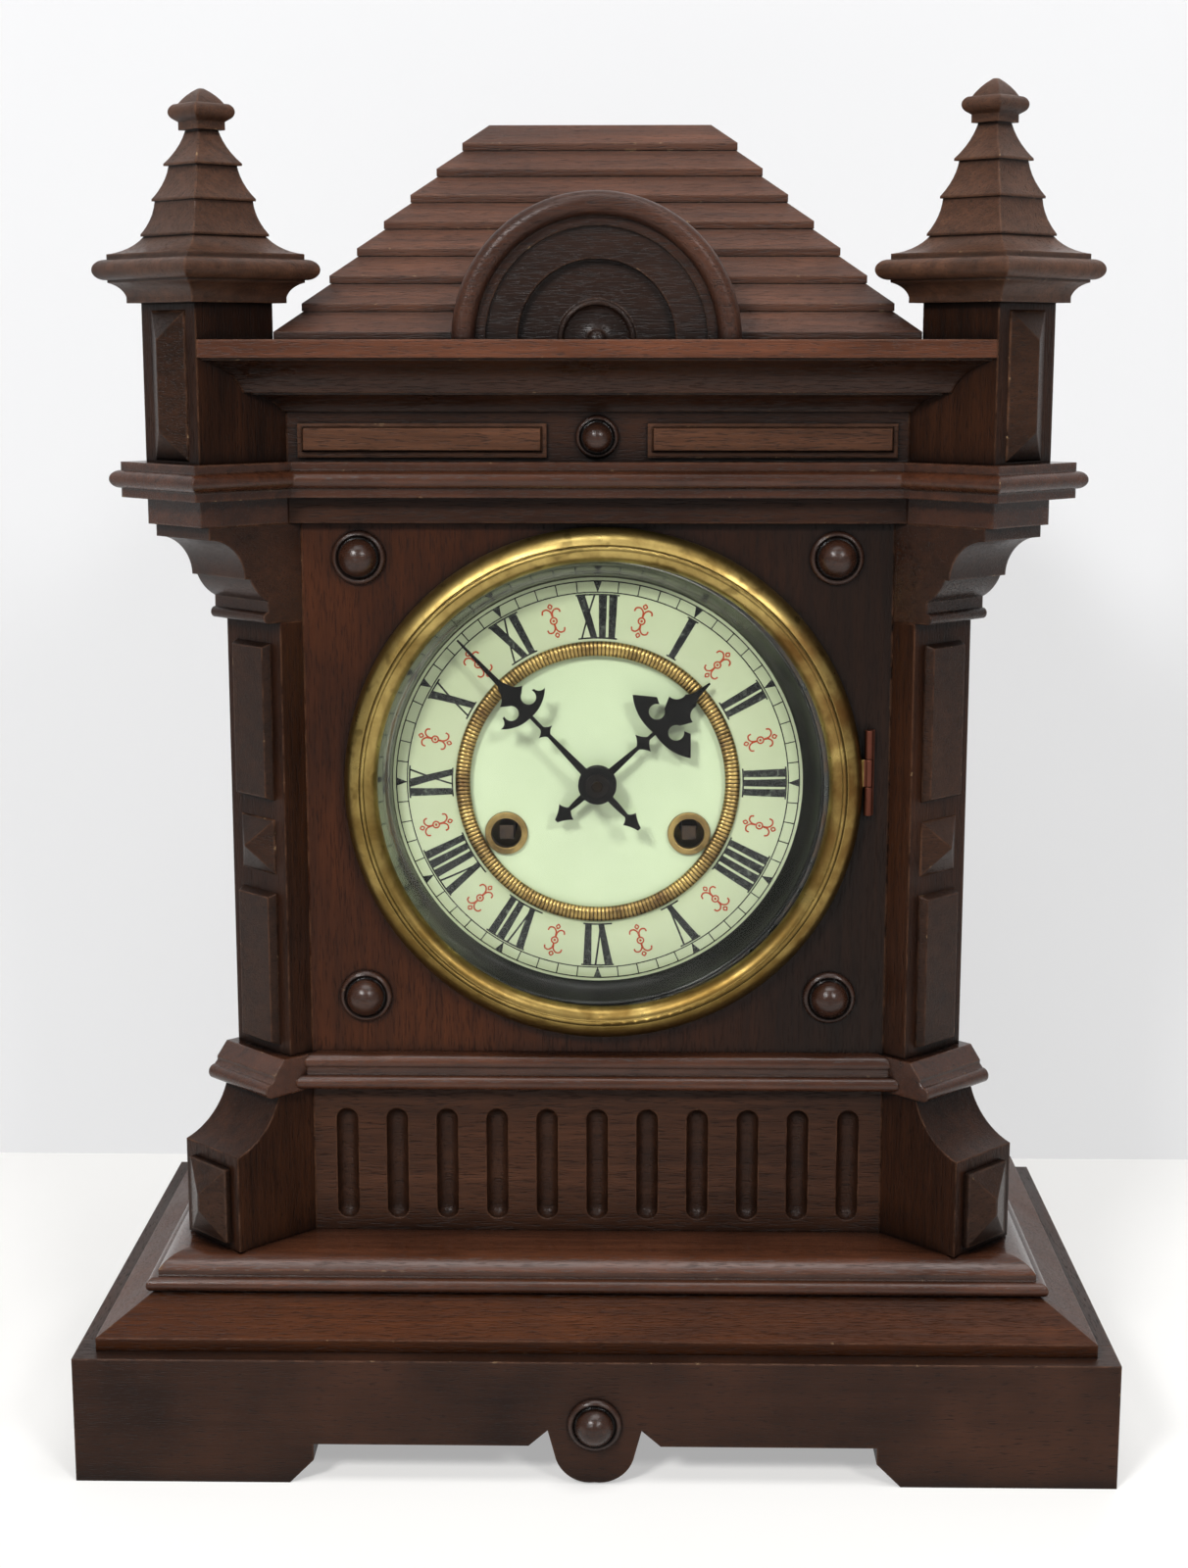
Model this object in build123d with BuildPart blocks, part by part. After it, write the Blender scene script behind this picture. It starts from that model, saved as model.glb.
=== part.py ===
from build123d import *
import os
from math import atan2, cos, hypot, pi, radians, sin, sqrt

os.makedirs("parts", exist_ok=True)

# Frame: X to the right, the dial faces -Y, Z up, origin under the middle of the plinth. Millimetres.

# Plinth and base
plinth_width = 300.0
plinth_depth = 168.5
plinth_height = 37.4
plinth_board = 14.0
joint_gap = 0.2
foot_length = 62.0
foot_chamfer = 7.0
cut_height = 11.9
drop_half = 11.5
drop_rise = 9.2
drop_floor_gap = 0.8
notch_half = 19.0
notch_peak_half = 13.5
notch_rise = 4.8
cap_inset = 5.8
cap_edge = 3.8
cap_height = 12.6
moulding_inset = 20.3
moulding_height = 10.0
torus_height = 4.2
torus_bulge = 2.1
ovolo_inset = 21.4
ovolo_start = 6.1
ovolo_end_inset = 29.0
ovolo_bulge = 1.0

# Case body
case_width = 207.2
case_setback = 44.85
back_inset = 4.25
panel_board = 10.0
side_board = 10.0
back_board = 8.0

# Diagonal corner posts; reach is measured outwards along the diagonal from the case corner
post_width = 26.0
post_back = -21.1
shaft_reach = -5.1
foot_reach = 14.9
foot_block = 29.0
foot_height = 45.0
foot_neck_reach = -0.6
foot_hollow_run = 0.33
foot_hollow_rise = 0.4
collar_height = 10.8
collar_reach = 3.0
collar_bead = 2.2
collar_overhang = 1.5
collar_back = -13.0
collar_top_reach = -1.7
shaft_height = 129.2
corbel_height = 28.3
corbel_reach = 18.5
corbel_fillet = 3.6
corbel_step = 6.7
corbel_neck = -1.0
corbel_bead = 1.6
corbel_hollow = 2.8

# Sill, cornice, towers and spires
sill_rise = 0.6
sill_bead = 2.1
sill_fascia = 4.2
sill_fillet = 0.7
sill_ovolo = 3.8
cornice_height = 17.5
cornice_flat = 5.2
cornice_bulge = 7.7
cornice_top_fillet = 2.4
cornice_torus = 5.0
cornice_low_fillet = 2.6
tower_reach = 8.1
tower_height = 44.0
eave_hollow = 2.9
eave_fillet = 1.6
eave_flat = 6.6
eave_torus = 9.7
eave_hollow_top = 5.6
eave_torus_foot = 6.3
eave_torus_top = 11.9
eave_slab_top = 13.4
tier_foot = 18.2
tier_bottom = (12.7, 10.3, 7.75)
tier_top = (9.7, 6.75, 3.25)
tier_lip = 0.6
spire_rise_left = 39.8
spire_rise_right = 42.1
tier_share = 0.24
finial_bead = 6.6
finial_waist = 5.4
finial_neck = 4.6
finial_neck_height = 2.2
finial_bead_height = 4.2
finial_dome = 0.35
finial_tip = 0.6

# Frieze, top board, roof and lunette
frieze_proud = 3.1
frieze_board_depth = 10.0
frieze_height = 29.0
cove_foot = 14.0
cove_mid = 19.4
cove_lower_reach = 8.2
cove_upper_start = 10.3
cove_upper_reach = 20.0
cove_fillet = 1.0
cove_edge = 0.6
cove_lower_bulge = 1.2
cove_upper_bulge = 1.6
board_thickness = 5.0
roof_setback = 17.5
roof_inset = 12.9
roof_rise = 63.2
roof_run = 57.1
roof_tiers = 8
roof_lip = 2.1
roof_overhang = 0.5
roof_wall = 14.0
lunette_radius = 40.0
lunette_depth = 10.5
lunette_rim = 6.6
lunette_rim_bulge = 3.0
lunette_ring = 2.7
lunette_ring_step = 1.0
lunette_field_step = 2.0
lunette_disc = 21.9
lunette_disc_step = 2.5
lunette_boss = 10.9
lunette_boss_bead = 1.7
lunette_button = 2.8

# Applied trim
facet_margin = 4.0
facet_end_gap = 3.2
facet_drop = 1.0
facet_base = 1.8
facet_step = 1.0
facet_proud = 3.6
panel_margin = 4.75
shaft_panel_proud = 2.64
shaft_panel_top_gap = 6.4
shaft_panel_low_gap = 2.6
boss_proud = 5.28
tower_panel_gap = 1.3
tower_panel_drop = 0.7
tower_panel_proud = 4.2
button_collar = 7.8
button_knob = 5.4
button_height = 7.0
button_rim = 2.0
button_shoulder = 3.2
button_margin = 16.6
button_rise = 17.4
button_drop = 10.0
frieze_button_rise = 6.9
frieze_button_scale = 0.78
facet_angle = 66.0
panel_angle = 22.0
boss_angle = 57.0
tower_panel_angle = 62.5
boss_size = 16.5
boss_gap = 5.6
flute_count = 11
flute_margin = 10.2
flute_radius = 3.2
flute_length = 34.4
flute_foot = 3.8
frieze_panel_inner = 14.3
frieze_panel_end_gap = 3.4
frieze_panel_height = 9.6
frieze_panel_low = 1.1
frieze_panel_base = 1.2
frieze_panel_proud = 1.44
frieze_panel_inset = 1.2
frieze_panel_lift = 0.4

# Dial and bezel
dial_lift = 2.05
dial_recess = 8.0
pan_inset = 8.4
pan_sheet = 0.9
pan_flange_width = 4.0
chapter_gap = 6.6
chapter_band = 22.0
chapter_thickness = 3.4
chapter_inner_drop = 0.6
chapter_outer_drop = 1.2
chapter_dome = 0.9
centre_thickness = 2.0
rope_shift = 1.3
rope_section = 2.3
rope_flank = 0.5
rope_foot = 0.9
rope_crown = 0.9
bezel_side_gap = 9.8
bezel_end_gap = 3.35
bezel_shift_x = 1.7
bezel_shift_z = 0.2
bezel_height = 7.4
bezel_lip_inset = 9.8
bezel_lip_edge = 0.8
bezel_edge = 1.6
bezel_crown_inset = 4.6
bezel_crown_drop = 0.9
bezel_crown_bulge = 0.9
bezel_bead_width = 1.1
bezel_groove = 0.5
bezel_inner_bulge = 0.8
glass_inset = 8.0
glass_thickness = 1.6
glass_recess = 0.8
hinge_pin = 0.6
hinge_knuckle = 1.3
hinge_length = 25.0
hinge_leaf = 1.7
hinge_rise = 4.3
hinge_gap = 0.4
hinge_tab = 2.0
hinge_leaf_edge = 0.7
winding_x = 27.0
winding_drop = 15.4
winding_hole = 4.5
winding_collar = 6.3
winding_collar_proud = 1.0

# Hands: angles clockwise from twelve, and where along each hand its ornaments stand
minute_angle = -43.6
minute_tip_gap = 1.5
minute_shape = {
    "collar": 37.0,
    "collar_half": 2.7,
    "collar_rise": 1.5,
    "fork": 31.0,
    "scroll": (4.3, 30.4),
    "horn": (8.9, 27.5),
    "dip": (7.0, 27.0),
    "bump": (6.3, 25.6),
    "eye": (3.5, 26.2),
    "eye_radius": 2.25,
    "lip": radians(20),
    "cusp": (4.5, 22.6),
    "waist": (2.3, 20.9),
    "knop": (1.45, 18.8),
    "needle": (0.75, 16.5),
    "tail": 17.9,
    "barb": (2.6, 4.2),
}
hour_angle = 47.6
hour_length = 44.3
hour_shape = {
    "collar": 26.2,
    "collar_half": 3.4,
    "collar_rise": 2.1,
    "fork": 21.9,
    "scroll": (5.6, 21.9),
    "horn": (12.6, 18.9),
    "dip": (9.6, 16.1),
    "bump": (7.3, 14.1),
    "eye": (4.2, 17.0),
    "eye_radius": 2.35,
    "lip": radians(60),
    "cusp": (5.1, 11.3),
    "waist": (2.7, 9.9),
    "knop": (2.3, 7.4),
    "needle": (0.9, 4.7),
    "tail": 16.4,
    "barb": (3.1, 4.0),
}
hand_sheet = 0.9
hand_hub = 5.6
hand_stem = 1.35
hand_neck = 0.55
hand_needle = 0.25
hand_curve = 0.25
hand_leaf = 0.4
hand_eye_angle = radians(250)
hand_end_angle = radians(112)
hour_hand_gap = 2.6
hand_gap = 2.2
hand_nut_radius = 3.5
hand_nut_height = 1.6
arbor_tip = 2.2

# Movement
run_clearance = 0.06
fit_clearance = 0.4
plate_half = 46.0
plate_thickness = 2.0
plate_front_gap = 13.0
plate_spacing = 35.0
seat_gap = 50.0
seat_thickness = 8.0
plate_top = 60.0
pillar_radius = 3.0
pillar_inset = 5.5
winding_arbor = 2.6
winding_square = 4.2
winding_square_foot = 2.0
winding_square_sink = 1.4
centre_arbor = 1.5
train_arbor = 0.6
stud_radius = 1.0
stud_length = 8.0
wheel_sheet = 1.6
wheel_teeth_shape = (0.9, 0.56, 0.2)
pinion_teeth_shape = (0.6, 0.5, 0.24)
tooth_root = 1.3
pinion_face = 3.8
pinion_overhang = 1.0
cannon_pipe = 2.2
hour_pipe_wall = 0.8
barrel_teeth = 64
centre_pinion_teeth = 8
centre_teeth = 80
third_pinion_teeth = 8
third_teeth = 75
escape_pinion_teeth = 6
escape_teeth = 36
escape_tip = 10.0
escape_tooth = 1.6
escape_undercut = 0.03
train_module = 0.5
escape_module = 0.42
strike_teeth = 60
strike_pinion_teeth = 8
strike_module = 0.8
cannon_teeth = 12
minute_teeth = 36
minute_pinion_teeth = 10
hour_teeth = 40
motion_distance = 12.0
third_offset = 7.5
pallet_rise = 14.5
strike_angle = radians(100)
centre_wheel_gap = 11.0
third_wheel_gap = 6.0
escape_wheel_gap = 13.0
pin_wheel_gap = 8.0
cannon_gap = 1.0
cannon_face = 3.0
minute_wheel_gap = 1.5
minute_wheel_face = 2.0
minute_pinion_gap = 3.5
minute_pinion_face = 4.4
hour_wheel_gap = 5.0
hour_wheel_face = 2.0
barrel_drum = 22.0
strike_drum = 19.0
barrel_gap = 2.0
barrel_rim = 2.2
barrel_depth = 16.0
barrel_mesh = 0.8
pallet_hub = 2.8
pallet_overlap = 0.4
pallet_arm = ((0, 2.2), (7.4, -2.6), (8.4, -5.4), (6.8, -5.6), (5.2, -3.6), (0, -1.4))
crutch_gap = 1.5
crutch_sheet = 1.5
crutch_width = 3.0
crutch_drop = 36.0
crutch_fork_width = 6.5
crutch_fork_wall = 3.5
crutch_fork_sheet = 1.4
bob_rise = 28.0
bob_radius = 17.0
bob_thickness = 8.0
bob_edge = 1.5
rating_nut_radius = 3.6
rating_nut_height = 4.0
rod_tail = 1.5
rod_radius = 1.2
rod_gap = 10.0
cock_rise = 4.5
cock_height = 5.0
cock_reach = 3.5
pin_wheel_radius = 12.0
pin_count = 8
pin_inset = 2.0
pin_radius = 0.8
pin_length = 3.0
gong_rise = 52.0
gong_inner = 9.0
gong_pitch = 6.0
gong_strip = 1.6
gong_width = 4.0
gong_turns = 4
gong_clearance = 1.2
gong_foot_length = 36.0
gong_foot_width = 18.0
gong_foot_height = 7.0
gong_foot_angle = 8.0
gong_post_foot = 6.0
gong_post_head = 4.0
gong_post_depth = 8.0
gong_post_rise = 5.0
gong_post_gap = 1.0
hammer_x = -38.0
hammer_rise = 26.0
hammer_hub = 2.6
hammer_arm = 1.0
hammer_sheet = 2.0
hammer_head = 3.2
hammer_head_half = 4.0
hammer_head_gap = 1.2

# Back door
door_stile = 28.6
door_low = 26.0
door_high = 215.0
door_gap = 0.6
door_hinge_leaf = 9.0
door_hinge_sheet = 0.8
door_knuckle = 8.0
door_hinge_inset = 30.0
knob_margin = 13.0
knob_radius = 5.0
knob_neck = 2.4
knob_crown = 3.2

# Levels and planes worked out from the sizes above
half_width = plinth_width / 2
half_depth = plinth_depth / 2
case_half = case_width / 2
case_front = -half_depth + case_setback
case_back = half_depth - back_inset
post_half = post_width / 2
panel_half = case_half - sqrt(2) * post_half
roof_half = case_half - roof_inset
door_half = case_half - side_board - door_stile
button_x = panel_half - button_margin
flute_pitch = 2 * (panel_half - flute_margin) / (flute_count - 1)
cap_level = plinth_height + cap_height
base_level = cap_level + moulding_height
collar_level = base_level + foot_height
shaft_level = collar_level + collar_height
corbel_level = shaft_level + shaft_height
cornice_level = corbel_level + corbel_height
frieze_level = cornice_level + cornice_height
board_level = frieze_level + frieze_height
roof_level = board_level + board_thickness
tower_top = frieze_level + tower_height
frieze_front = case_front - frieze_proud
board_front = case_front - (tower_reach + 2 * post_half) / sqrt(2)
roof_front = board_front + roof_setback
dial_face = case_front + dial_recess
pan_front = case_front - pan_sheet
pan_back = dial_face + chapter_thickness
dial_z = (shaft_level + cornice_level) / 2 + dial_lift
bezel_z = dial_z + bezel_shift_z
bezel_radius = min(panel_half - bezel_side_gap, (cornice_level - shaft_level) / 2 - bezel_end_gap)
bezel_lip = bezel_radius - bezel_lip_inset
glass_radius = bezel_radius - glass_inset
pan_radius = bezel_radius - pan_inset
pan_flange = pan_radius + pan_flange_width
chapter_outer = pan_radius - chapter_gap
chapter_inner = chapter_outer - chapter_band
rope_radius = chapter_inner + rope_shift
winding_z = dial_z - winding_drop
front_plate_y = pan_back + plate_front_gap
back_plate_y = front_plate_y + plate_spacing
seat_level = dial_z - seat_gap

section = Plane(origin=(0, 0, 0), x_dir=(0, -1, 0), z_dir=(-1, 0, 0))


def save(builder, name):
    """Label a finished sub-part and write it."""
    builder.part.label = name
    export_step(builder.part, f"parts/{name}.step")


def front(y):
    """Plane facing the viewer at depth y, with local X to the right and local Y up."""
    return Plane.XZ.offset(-y)


def outward(side):
    """Unit vector along the diagonal of the left (-1) or right (1) front corner."""
    return Vector(side, -1, 0).normalized()


def post_side(side, reach=0.0):
    """Plane that cuts a corner post along its diagonal: local X outwards, local Y up."""
    away = outward(side)
    origin = Vector(side * case_half, case_front, 0) + away * reach
    return Plane(origin=origin, x_dir=away, z_dir=away.cross(Vector(0, 0, 1)))


def post_face(side, reach):
    """Plane across a corner post at a reach: local X across the post, local Y up."""
    away = outward(side)
    origin = Vector(side * case_half, case_front, 0) + away * reach
    return Plane(origin=origin, x_dir=Vector(0, 0, 1).cross(away), z_dir=away)


def span_at(y, across):
    """Half length at depth y of a piece whose ends butt the posts' inner faces."""
    return case_half + case_front - y - sqrt(2) * across


def butted_outline(y_front, y_back, across):
    """Plan of a board between the posts, with ends mitred to their inner faces."""
    near = span_at(y_front, across)
    far = span_at(y_back, across)
    return ((-near, y_front), (near, y_front), (far, y_back), (-far, y_back))


def square_stack(outline, side, span):
    """Mitred square form about a tower axis, made from one half outline."""
    for cut, mode in ((post_side, Mode.ADD), (post_face, Mode.INTERSECT)):
        with BuildSketch(cut(side, tower_reach)) as profile:
            with BuildLine():
                outline()
            make_face()
            mirror(about=Plane.YZ)
        extrude(profile.sketch, amount=span, both=True, mode=mode)


def rim(teeth, module, toward, tooth_at_partner, shape=wheel_teeth_shape):
    """Closed outline of straight-flanked clock teeth, phased to mesh towards an angle."""
    addendum, root_share, tip_share = shape
    pitch = 2 * pi / teeth
    tip = module * (teeth / 2 + addendum)
    root = module * (teeth / 2 - tooth_root)
    start = toward if tooth_at_partner else toward + pitch / 2
    points = []
    for index in range(teeth):
        middle = start + index * pitch
        for radius, offset in ((root, -root_share), (tip, -tip_share), (tip, tip_share), (root, root_share)):
            angle = middle + offset * pitch / 2
            points.append((radius * cos(angle), radius * sin(angle)))
    return points


def toward(centre, partner):
    """Angle from one arbor to another, seen from the front."""
    return atan2(partner[1] - centre[1], partner[0] - centre[0])


def toothed(centre, outline, y_back, thickness):
    """Add a toothed disc about an arbor, from y_back towards the front."""
    with BuildSketch(front(y_back)) as profile:
        with Locations(centre):
            Polygon(*outline, align=None)
    extrude(profile.sketch, amount=thickness)


def rod(centre, radius, y_front, y_back):
    """Add a round arbor along Y."""
    with BuildSketch(front(y_back)) as profile:
        with Locations(centre):
            Circle(radius)
    extrude(profile.sketch, amount=y_back - y_front)


def drill(centres, radius, y_front, y_back):
    """Cut round holes along Y."""
    with BuildSketch(front(y_back)) as holes:
        with Locations(*centres):
            Circle(radius)
    extrude(holes.sketch, amount=y_back - y_front, mode=Mode.SUBTRACT)


# Plinth front board with its stepped cut-outs and the round drop in the middle
with BuildPart() as plinth_front:
    with BuildSketch(front(-half_depth + plinth_board)):
        with BuildLine():
            right = half_width
            inner = right - foot_length - foot_chamfer
            Polyline(
                (0, plinth_height),
                (right, plinth_height),
                (right, 0),
                (right - foot_length, 0),
                (inner, foot_chamfer),
                (inner, cut_height),
                (notch_half, cut_height),
                (notch_peak_half, cut_height + notch_rise),
                (drop_half, drop_rise),
            )
            ThreePointArc(
                (drop_half, drop_rise),
                (drop_half / sqrt(2), drop_rise - (drop_rise - drop_floor_gap) / sqrt(2)),
                (0, drop_floor_gap),
            )
            Line((0, drop_floor_gap), (0, plinth_height))
        make_face()
        mirror(about=Plane.YZ)
    extrude(amount=plinth_board)
save(plinth_front, "plinth_front")

# Plain side and back boards of the plinth
with BuildPart() as plinth_boards:
    side_place = half_width - plinth_board / 2
    with BuildSketch(Plane.XY):
        with Locations((side_place, plinth_board / 2), (-side_place, plinth_board / 2)):
            Rectangle(plinth_board, plinth_depth - plinth_board)
    extrude(amount=plinth_height)
    with BuildSketch(front(half_depth)):
        with Locations((0, (plinth_height + cut_height) / 2)):
            Rectangle(plinth_width - 2 * plinth_board - joint_gap, plinth_height - cut_height)
    extrude(amount=plinth_board)
save(plinth_boards, "plinth_boards")


def cap_outline(half):
    """Half section of the bevelled cap, out to an edge at half."""
    Polyline(
        (0, plinth_height),
        (half - cap_inset, plinth_height),
        (half - cap_inset, plinth_height + cap_edge),
        (half - moulding_inset, cap_level),
        (0, cap_level),
        close=True,
    )


def moulding_outline(half):
    """Half section of the base moulding: a torus under a quarter-round ovolo."""
    edge = half - moulding_inset
    Line((0, cap_level), (edge, cap_level))
    ThreePointArc(
        (edge, cap_level),
        (edge + torus_bulge, cap_level + torus_height / 2),
        (edge, cap_level + torus_height),
    )
    Polyline(
        (edge, cap_level + torus_height),
        (half - ovolo_inset, cap_level + torus_height),
        (half - ovolo_inset, cap_level + ovolo_start),
    )
    ovolo_foot = (half - ovolo_inset, cap_level + ovolo_start)
    SagittaArc(ovolo_foot, (half - ovolo_end_inset, base_level), -ovolo_bulge)
    Polyline((half - ovolo_end_inset, base_level), (0, base_level), (0, cap_level))


def moulded_slab(outline, low, high):
    """Board with a moulded edge on the front and both sides and a flat back."""
    with BuildSketch(section) as depth_profile:
        with BuildLine():
            outline(half_depth)
        make_face()
        with Locations((-half_depth / 2, (low + high) / 2)):
            Rectangle(half_depth, high - low)
    extrude(depth_profile.sketch, amount=half_width, both=True)
    with BuildSketch(Plane.XZ) as width_profile:
        with BuildLine():
            outline(half_width)
        make_face()
        mirror(about=Plane.YZ)
    extrude(width_profile.sketch, amount=half_depth, both=True, mode=Mode.INTERSECT)


with BuildPart() as plinth_cap:
    moulded_slab(cap_outline, plinth_height, cap_level)
save(plinth_cap, "plinth_cap")

with BuildPart() as base_moulding:
    moulded_slab(moulding_outline, cap_level, base_level)
save(base_moulding, "base_moulding")

# Diagonal bracket feet, collars, shafts and corbels, stacked at the two front corners
with BuildPart() as bracket_feet:
    for side in (-1, 1):
        with BuildSketch(post_side(side)):
            with BuildLine():
                block_top = base_level + foot_block
                Polyline(
                    (foot_neck_reach, collar_level),
                    (post_back, collar_level),
                    (post_back, base_level),
                    (foot_reach, base_level),
                    (foot_reach, block_top),
                )
                sweep_rise = collar_level - block_top
                sweep_run = foot_reach - foot_neck_reach
                hollow_x = foot_neck_reach + foot_hollow_run * sweep_run
                hollow_z = block_top + foot_hollow_rise * sweep_rise
                ThreePointArc((foot_reach, block_top), (hollow_x, hollow_z), (foot_neck_reach, collar_level))
            make_face()
        extrude(amount=post_half, both=True)
save(bracket_feet, "bracket_feet")

with BuildPart() as post_collars:
    for side in (-1, 1):
        with BuildSketch(post_side(side)):
            with BuildLine():
                bead_top = collar_level + 2 * collar_bead
                Polyline((collar_back, collar_level), (collar_reach, collar_level))
                ThreePointArc(
                    (collar_reach, collar_level),
                    (collar_reach + collar_bead, collar_level + collar_bead),
                    (collar_reach, bead_top),
                )
                Polyline(
                    (collar_reach, bead_top),
                    (collar_reach - collar_bead / 2, bead_top + collar_bead / 2),
                    (collar_reach - collar_bead / 2, bead_top + collar_bead),
                    (collar_top_reach, shaft_level),
                    (collar_back, shaft_level),
                    (collar_back, collar_level),
                )
            make_face()
        extrude(amount=post_half + collar_overhang, both=True)
save(post_collars, "post_collars")

with BuildPart() as pilaster_shafts:
    for side in (-1, 1):
        with BuildSketch(post_side(side)):
            with Locations(((post_back + shaft_reach) / 2, shaft_level + shaft_height / 2)):
                Rectangle(shaft_reach - post_back, shaft_height)
        extrude(amount=post_half, both=True)
save(pilaster_shafts, "pilaster_shafts")

with BuildPart() as corbels:
    for side in (-1, 1):
        with BuildSketch(post_side(side)):
            with BuildLine():
                bead_top = corbel_level + 2 * corbel_bead
                neck_top = bead_top + 2 * corbel_bead
                step_level = neck_top + corbel_step
                fillet_foot = cornice_level - corbel_fillet
                Polyline((post_back, corbel_level), (corbel_neck, corbel_level))
                ThreePointArc(
                    (corbel_neck, corbel_level),
                    (corbel_neck + corbel_bead, corbel_level + corbel_bead),
                    (corbel_neck, bead_top),
                )
                Line((corbel_neck, bead_top), (corbel_neck, neck_top))
                SagittaArc((corbel_neck, neck_top), (corbel_step - corbel_bead, step_level), -corbel_bead / 2)
                Line((corbel_step - corbel_bead, step_level), (corbel_step, step_level))
                ThreePointArc(
                    (corbel_step, step_level),
                    (corbel_step + corbel_hollow, (step_level + fillet_foot) / 2 + corbel_bead),
                    (corbel_reach - corbel_bead / 2, fillet_foot),
                )
                Polyline(
                    (corbel_reach - corbel_bead / 2, fillet_foot),
                    (corbel_reach, fillet_foot),
                    (corbel_reach, cornice_level),
                    (post_back, cornice_level),
                    (post_back, corbel_level),
                )
            make_face()
        extrude(amount=post_half, both=True)
save(corbels, "corbels")

# Front boards between the posts
with BuildPart() as fluted_panel:
    joint_level = collar_level + collar_height / 2
    with BuildSketch(Plane.XY.offset(base_level)):
        Polygon(*butted_outline(case_front, case_front + panel_board, post_half), align=None)
    extrude(amount=joint_level - base_level)
    straight = flute_length - 2 * flute_radius
    flute_middle = base_level + flute_foot + flute_length / 2
    with Locations((0, case_front, flute_middle)):
        with GridLocations(flute_pitch, 1, flute_count, 1):
            Cylinder(flute_radius, straight, mode=Mode.SUBTRACT)
    for end in (-1, 1):
        with Locations((0, case_front, flute_middle + end * straight / 2)):
            with GridLocations(flute_pitch, 1, flute_count, 1):
                Sphere(flute_radius, mode=Mode.SUBTRACT)
save(fluted_panel, "fluted_panel")

with BuildPart() as dial_panel:
    with BuildSketch(Plane.XY.offset(joint_level)):
        Polygon(*butted_outline(case_front, case_front + panel_board, post_half), align=None)
    extrude(amount=cornice_level - joint_level)
    drill([(0, dial_z)], pan_radius + fit_clearance, case_front, case_front + panel_board)
save(dial_panel, "dial_panel")

with BuildPart() as sill_moulding:
    sill_low = collar_level + sill_rise
    with BuildSketch(section):
        with BuildLine():
            wall = -case_front
            fascia = wall + sill_fascia
            first = sill_low + 2 * sill_bead
            second = first + sill_bead
            third = second + sill_ovolo
            Polyline((wall, sill_low), (fascia, sill_low))
            ThreePointArc((fascia, sill_low), (fascia + sill_bead, sill_low + sill_bead), (fascia, first))
            Polyline((fascia, first), (fascia - sill_fillet, first), (fascia - sill_fillet, second))
            SagittaArc((fascia - sill_fillet, second), (fascia - sill_bead, third), -sill_bead / 2)
            Polyline((fascia - sill_bead, third), (wall, third + sill_bead / 4), (wall, sill_low))
        make_face()
    extrude(amount=case_half, both=True)
    reach_front = case_front - sill_fascia - sill_bead
    with BuildSketch(Plane.XY.offset(sill_low)):
        Polygon(*butted_outline(reach_front, case_front, post_half + collar_overhang), align=None)
    extrude(amount=collar_height + foot_height, mode=Mode.INTERSECT)
save(sill_moulding, "sill_moulding")

# Cornice: the same moulding runs straight between the towers and breaks out round each of them
cornice_flat_foot = frieze_level - cornice_top_fillet
cornice_bulge_foot = cornice_flat_foot - cornice_torus
cornice_fillet_foot = cornice_bulge_foot - cornice_low_fillet


def cornice_outline(wall, low, start):
    """Section of the cornice from start out past a wall plane, down to low."""
    Polyline(
        (start, low),
        (wall, low),
        (wall, cornice_fillet_foot),
        (wall + cornice_flat, cornice_fillet_foot),
        (wall + cornice_flat, cornice_bulge_foot),
    )
    ThreePointArc(
        (wall + cornice_flat, cornice_bulge_foot),
        (wall + cornice_bulge, (cornice_bulge_foot + cornice_flat_foot) / 2),
        (wall + cornice_flat, cornice_flat_foot),
    )
    Polyline(
        (wall + cornice_flat, cornice_flat_foot),
        (wall + cornice_flat, frieze_level),
        (start, frieze_level),
        (start, low),
    )


with BuildPart() as tower_cornice_left:
    square_stack(lambda: cornice_outline(post_half, cornice_level, 0), -1, post_width)
with BuildPart() as tower_cornice_right:
    square_stack(lambda: cornice_outline(post_half, cornice_level, 0), 1, post_width)

with BuildPart() as cornice:
    with BuildSketch(section):
        with BuildLine():
            cornice_outline(-frieze_front, cornice_level, -frieze_front - frieze_board_depth)
        make_face()
    extrude(amount=span_at(frieze_front, post_half / 2), both=True)
    add(tower_cornice_left.part)
    add(tower_cornice_right.part)
    with BuildSketch(Plane.XY.offset(cornice_level)):
        with Locations((0, frieze_front + half_depth)):
            Rectangle(case_width, plinth_depth)
    extrude(amount=cornice_height, mode=Mode.SUBTRACT)
    for side in (-1, 1):
        with BuildSketch(post_side(side)):
            with Locations(((post_back + tower_reach) / 2, (cornice_level + frieze_level) / 2)):
                Rectangle(tower_reach - post_back, cornice_height)
        extrude(amount=post_half, both=True)
save(cornice, "cornice")

with BuildPart() as towers:
    for side in (-1, 1):
        with BuildSketch(post_side(side)):
            with Locations((tower_reach, frieze_level + tower_height / 2)):
                Rectangle(post_width, tower_height)
            with Locations(((post_back + tower_reach) / 2, frieze_level + frieze_height / 2)):
                Rectangle(tower_reach - post_back, frieze_height)
        extrude(amount=post_half, both=True)
save(towers, "towers")


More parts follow.
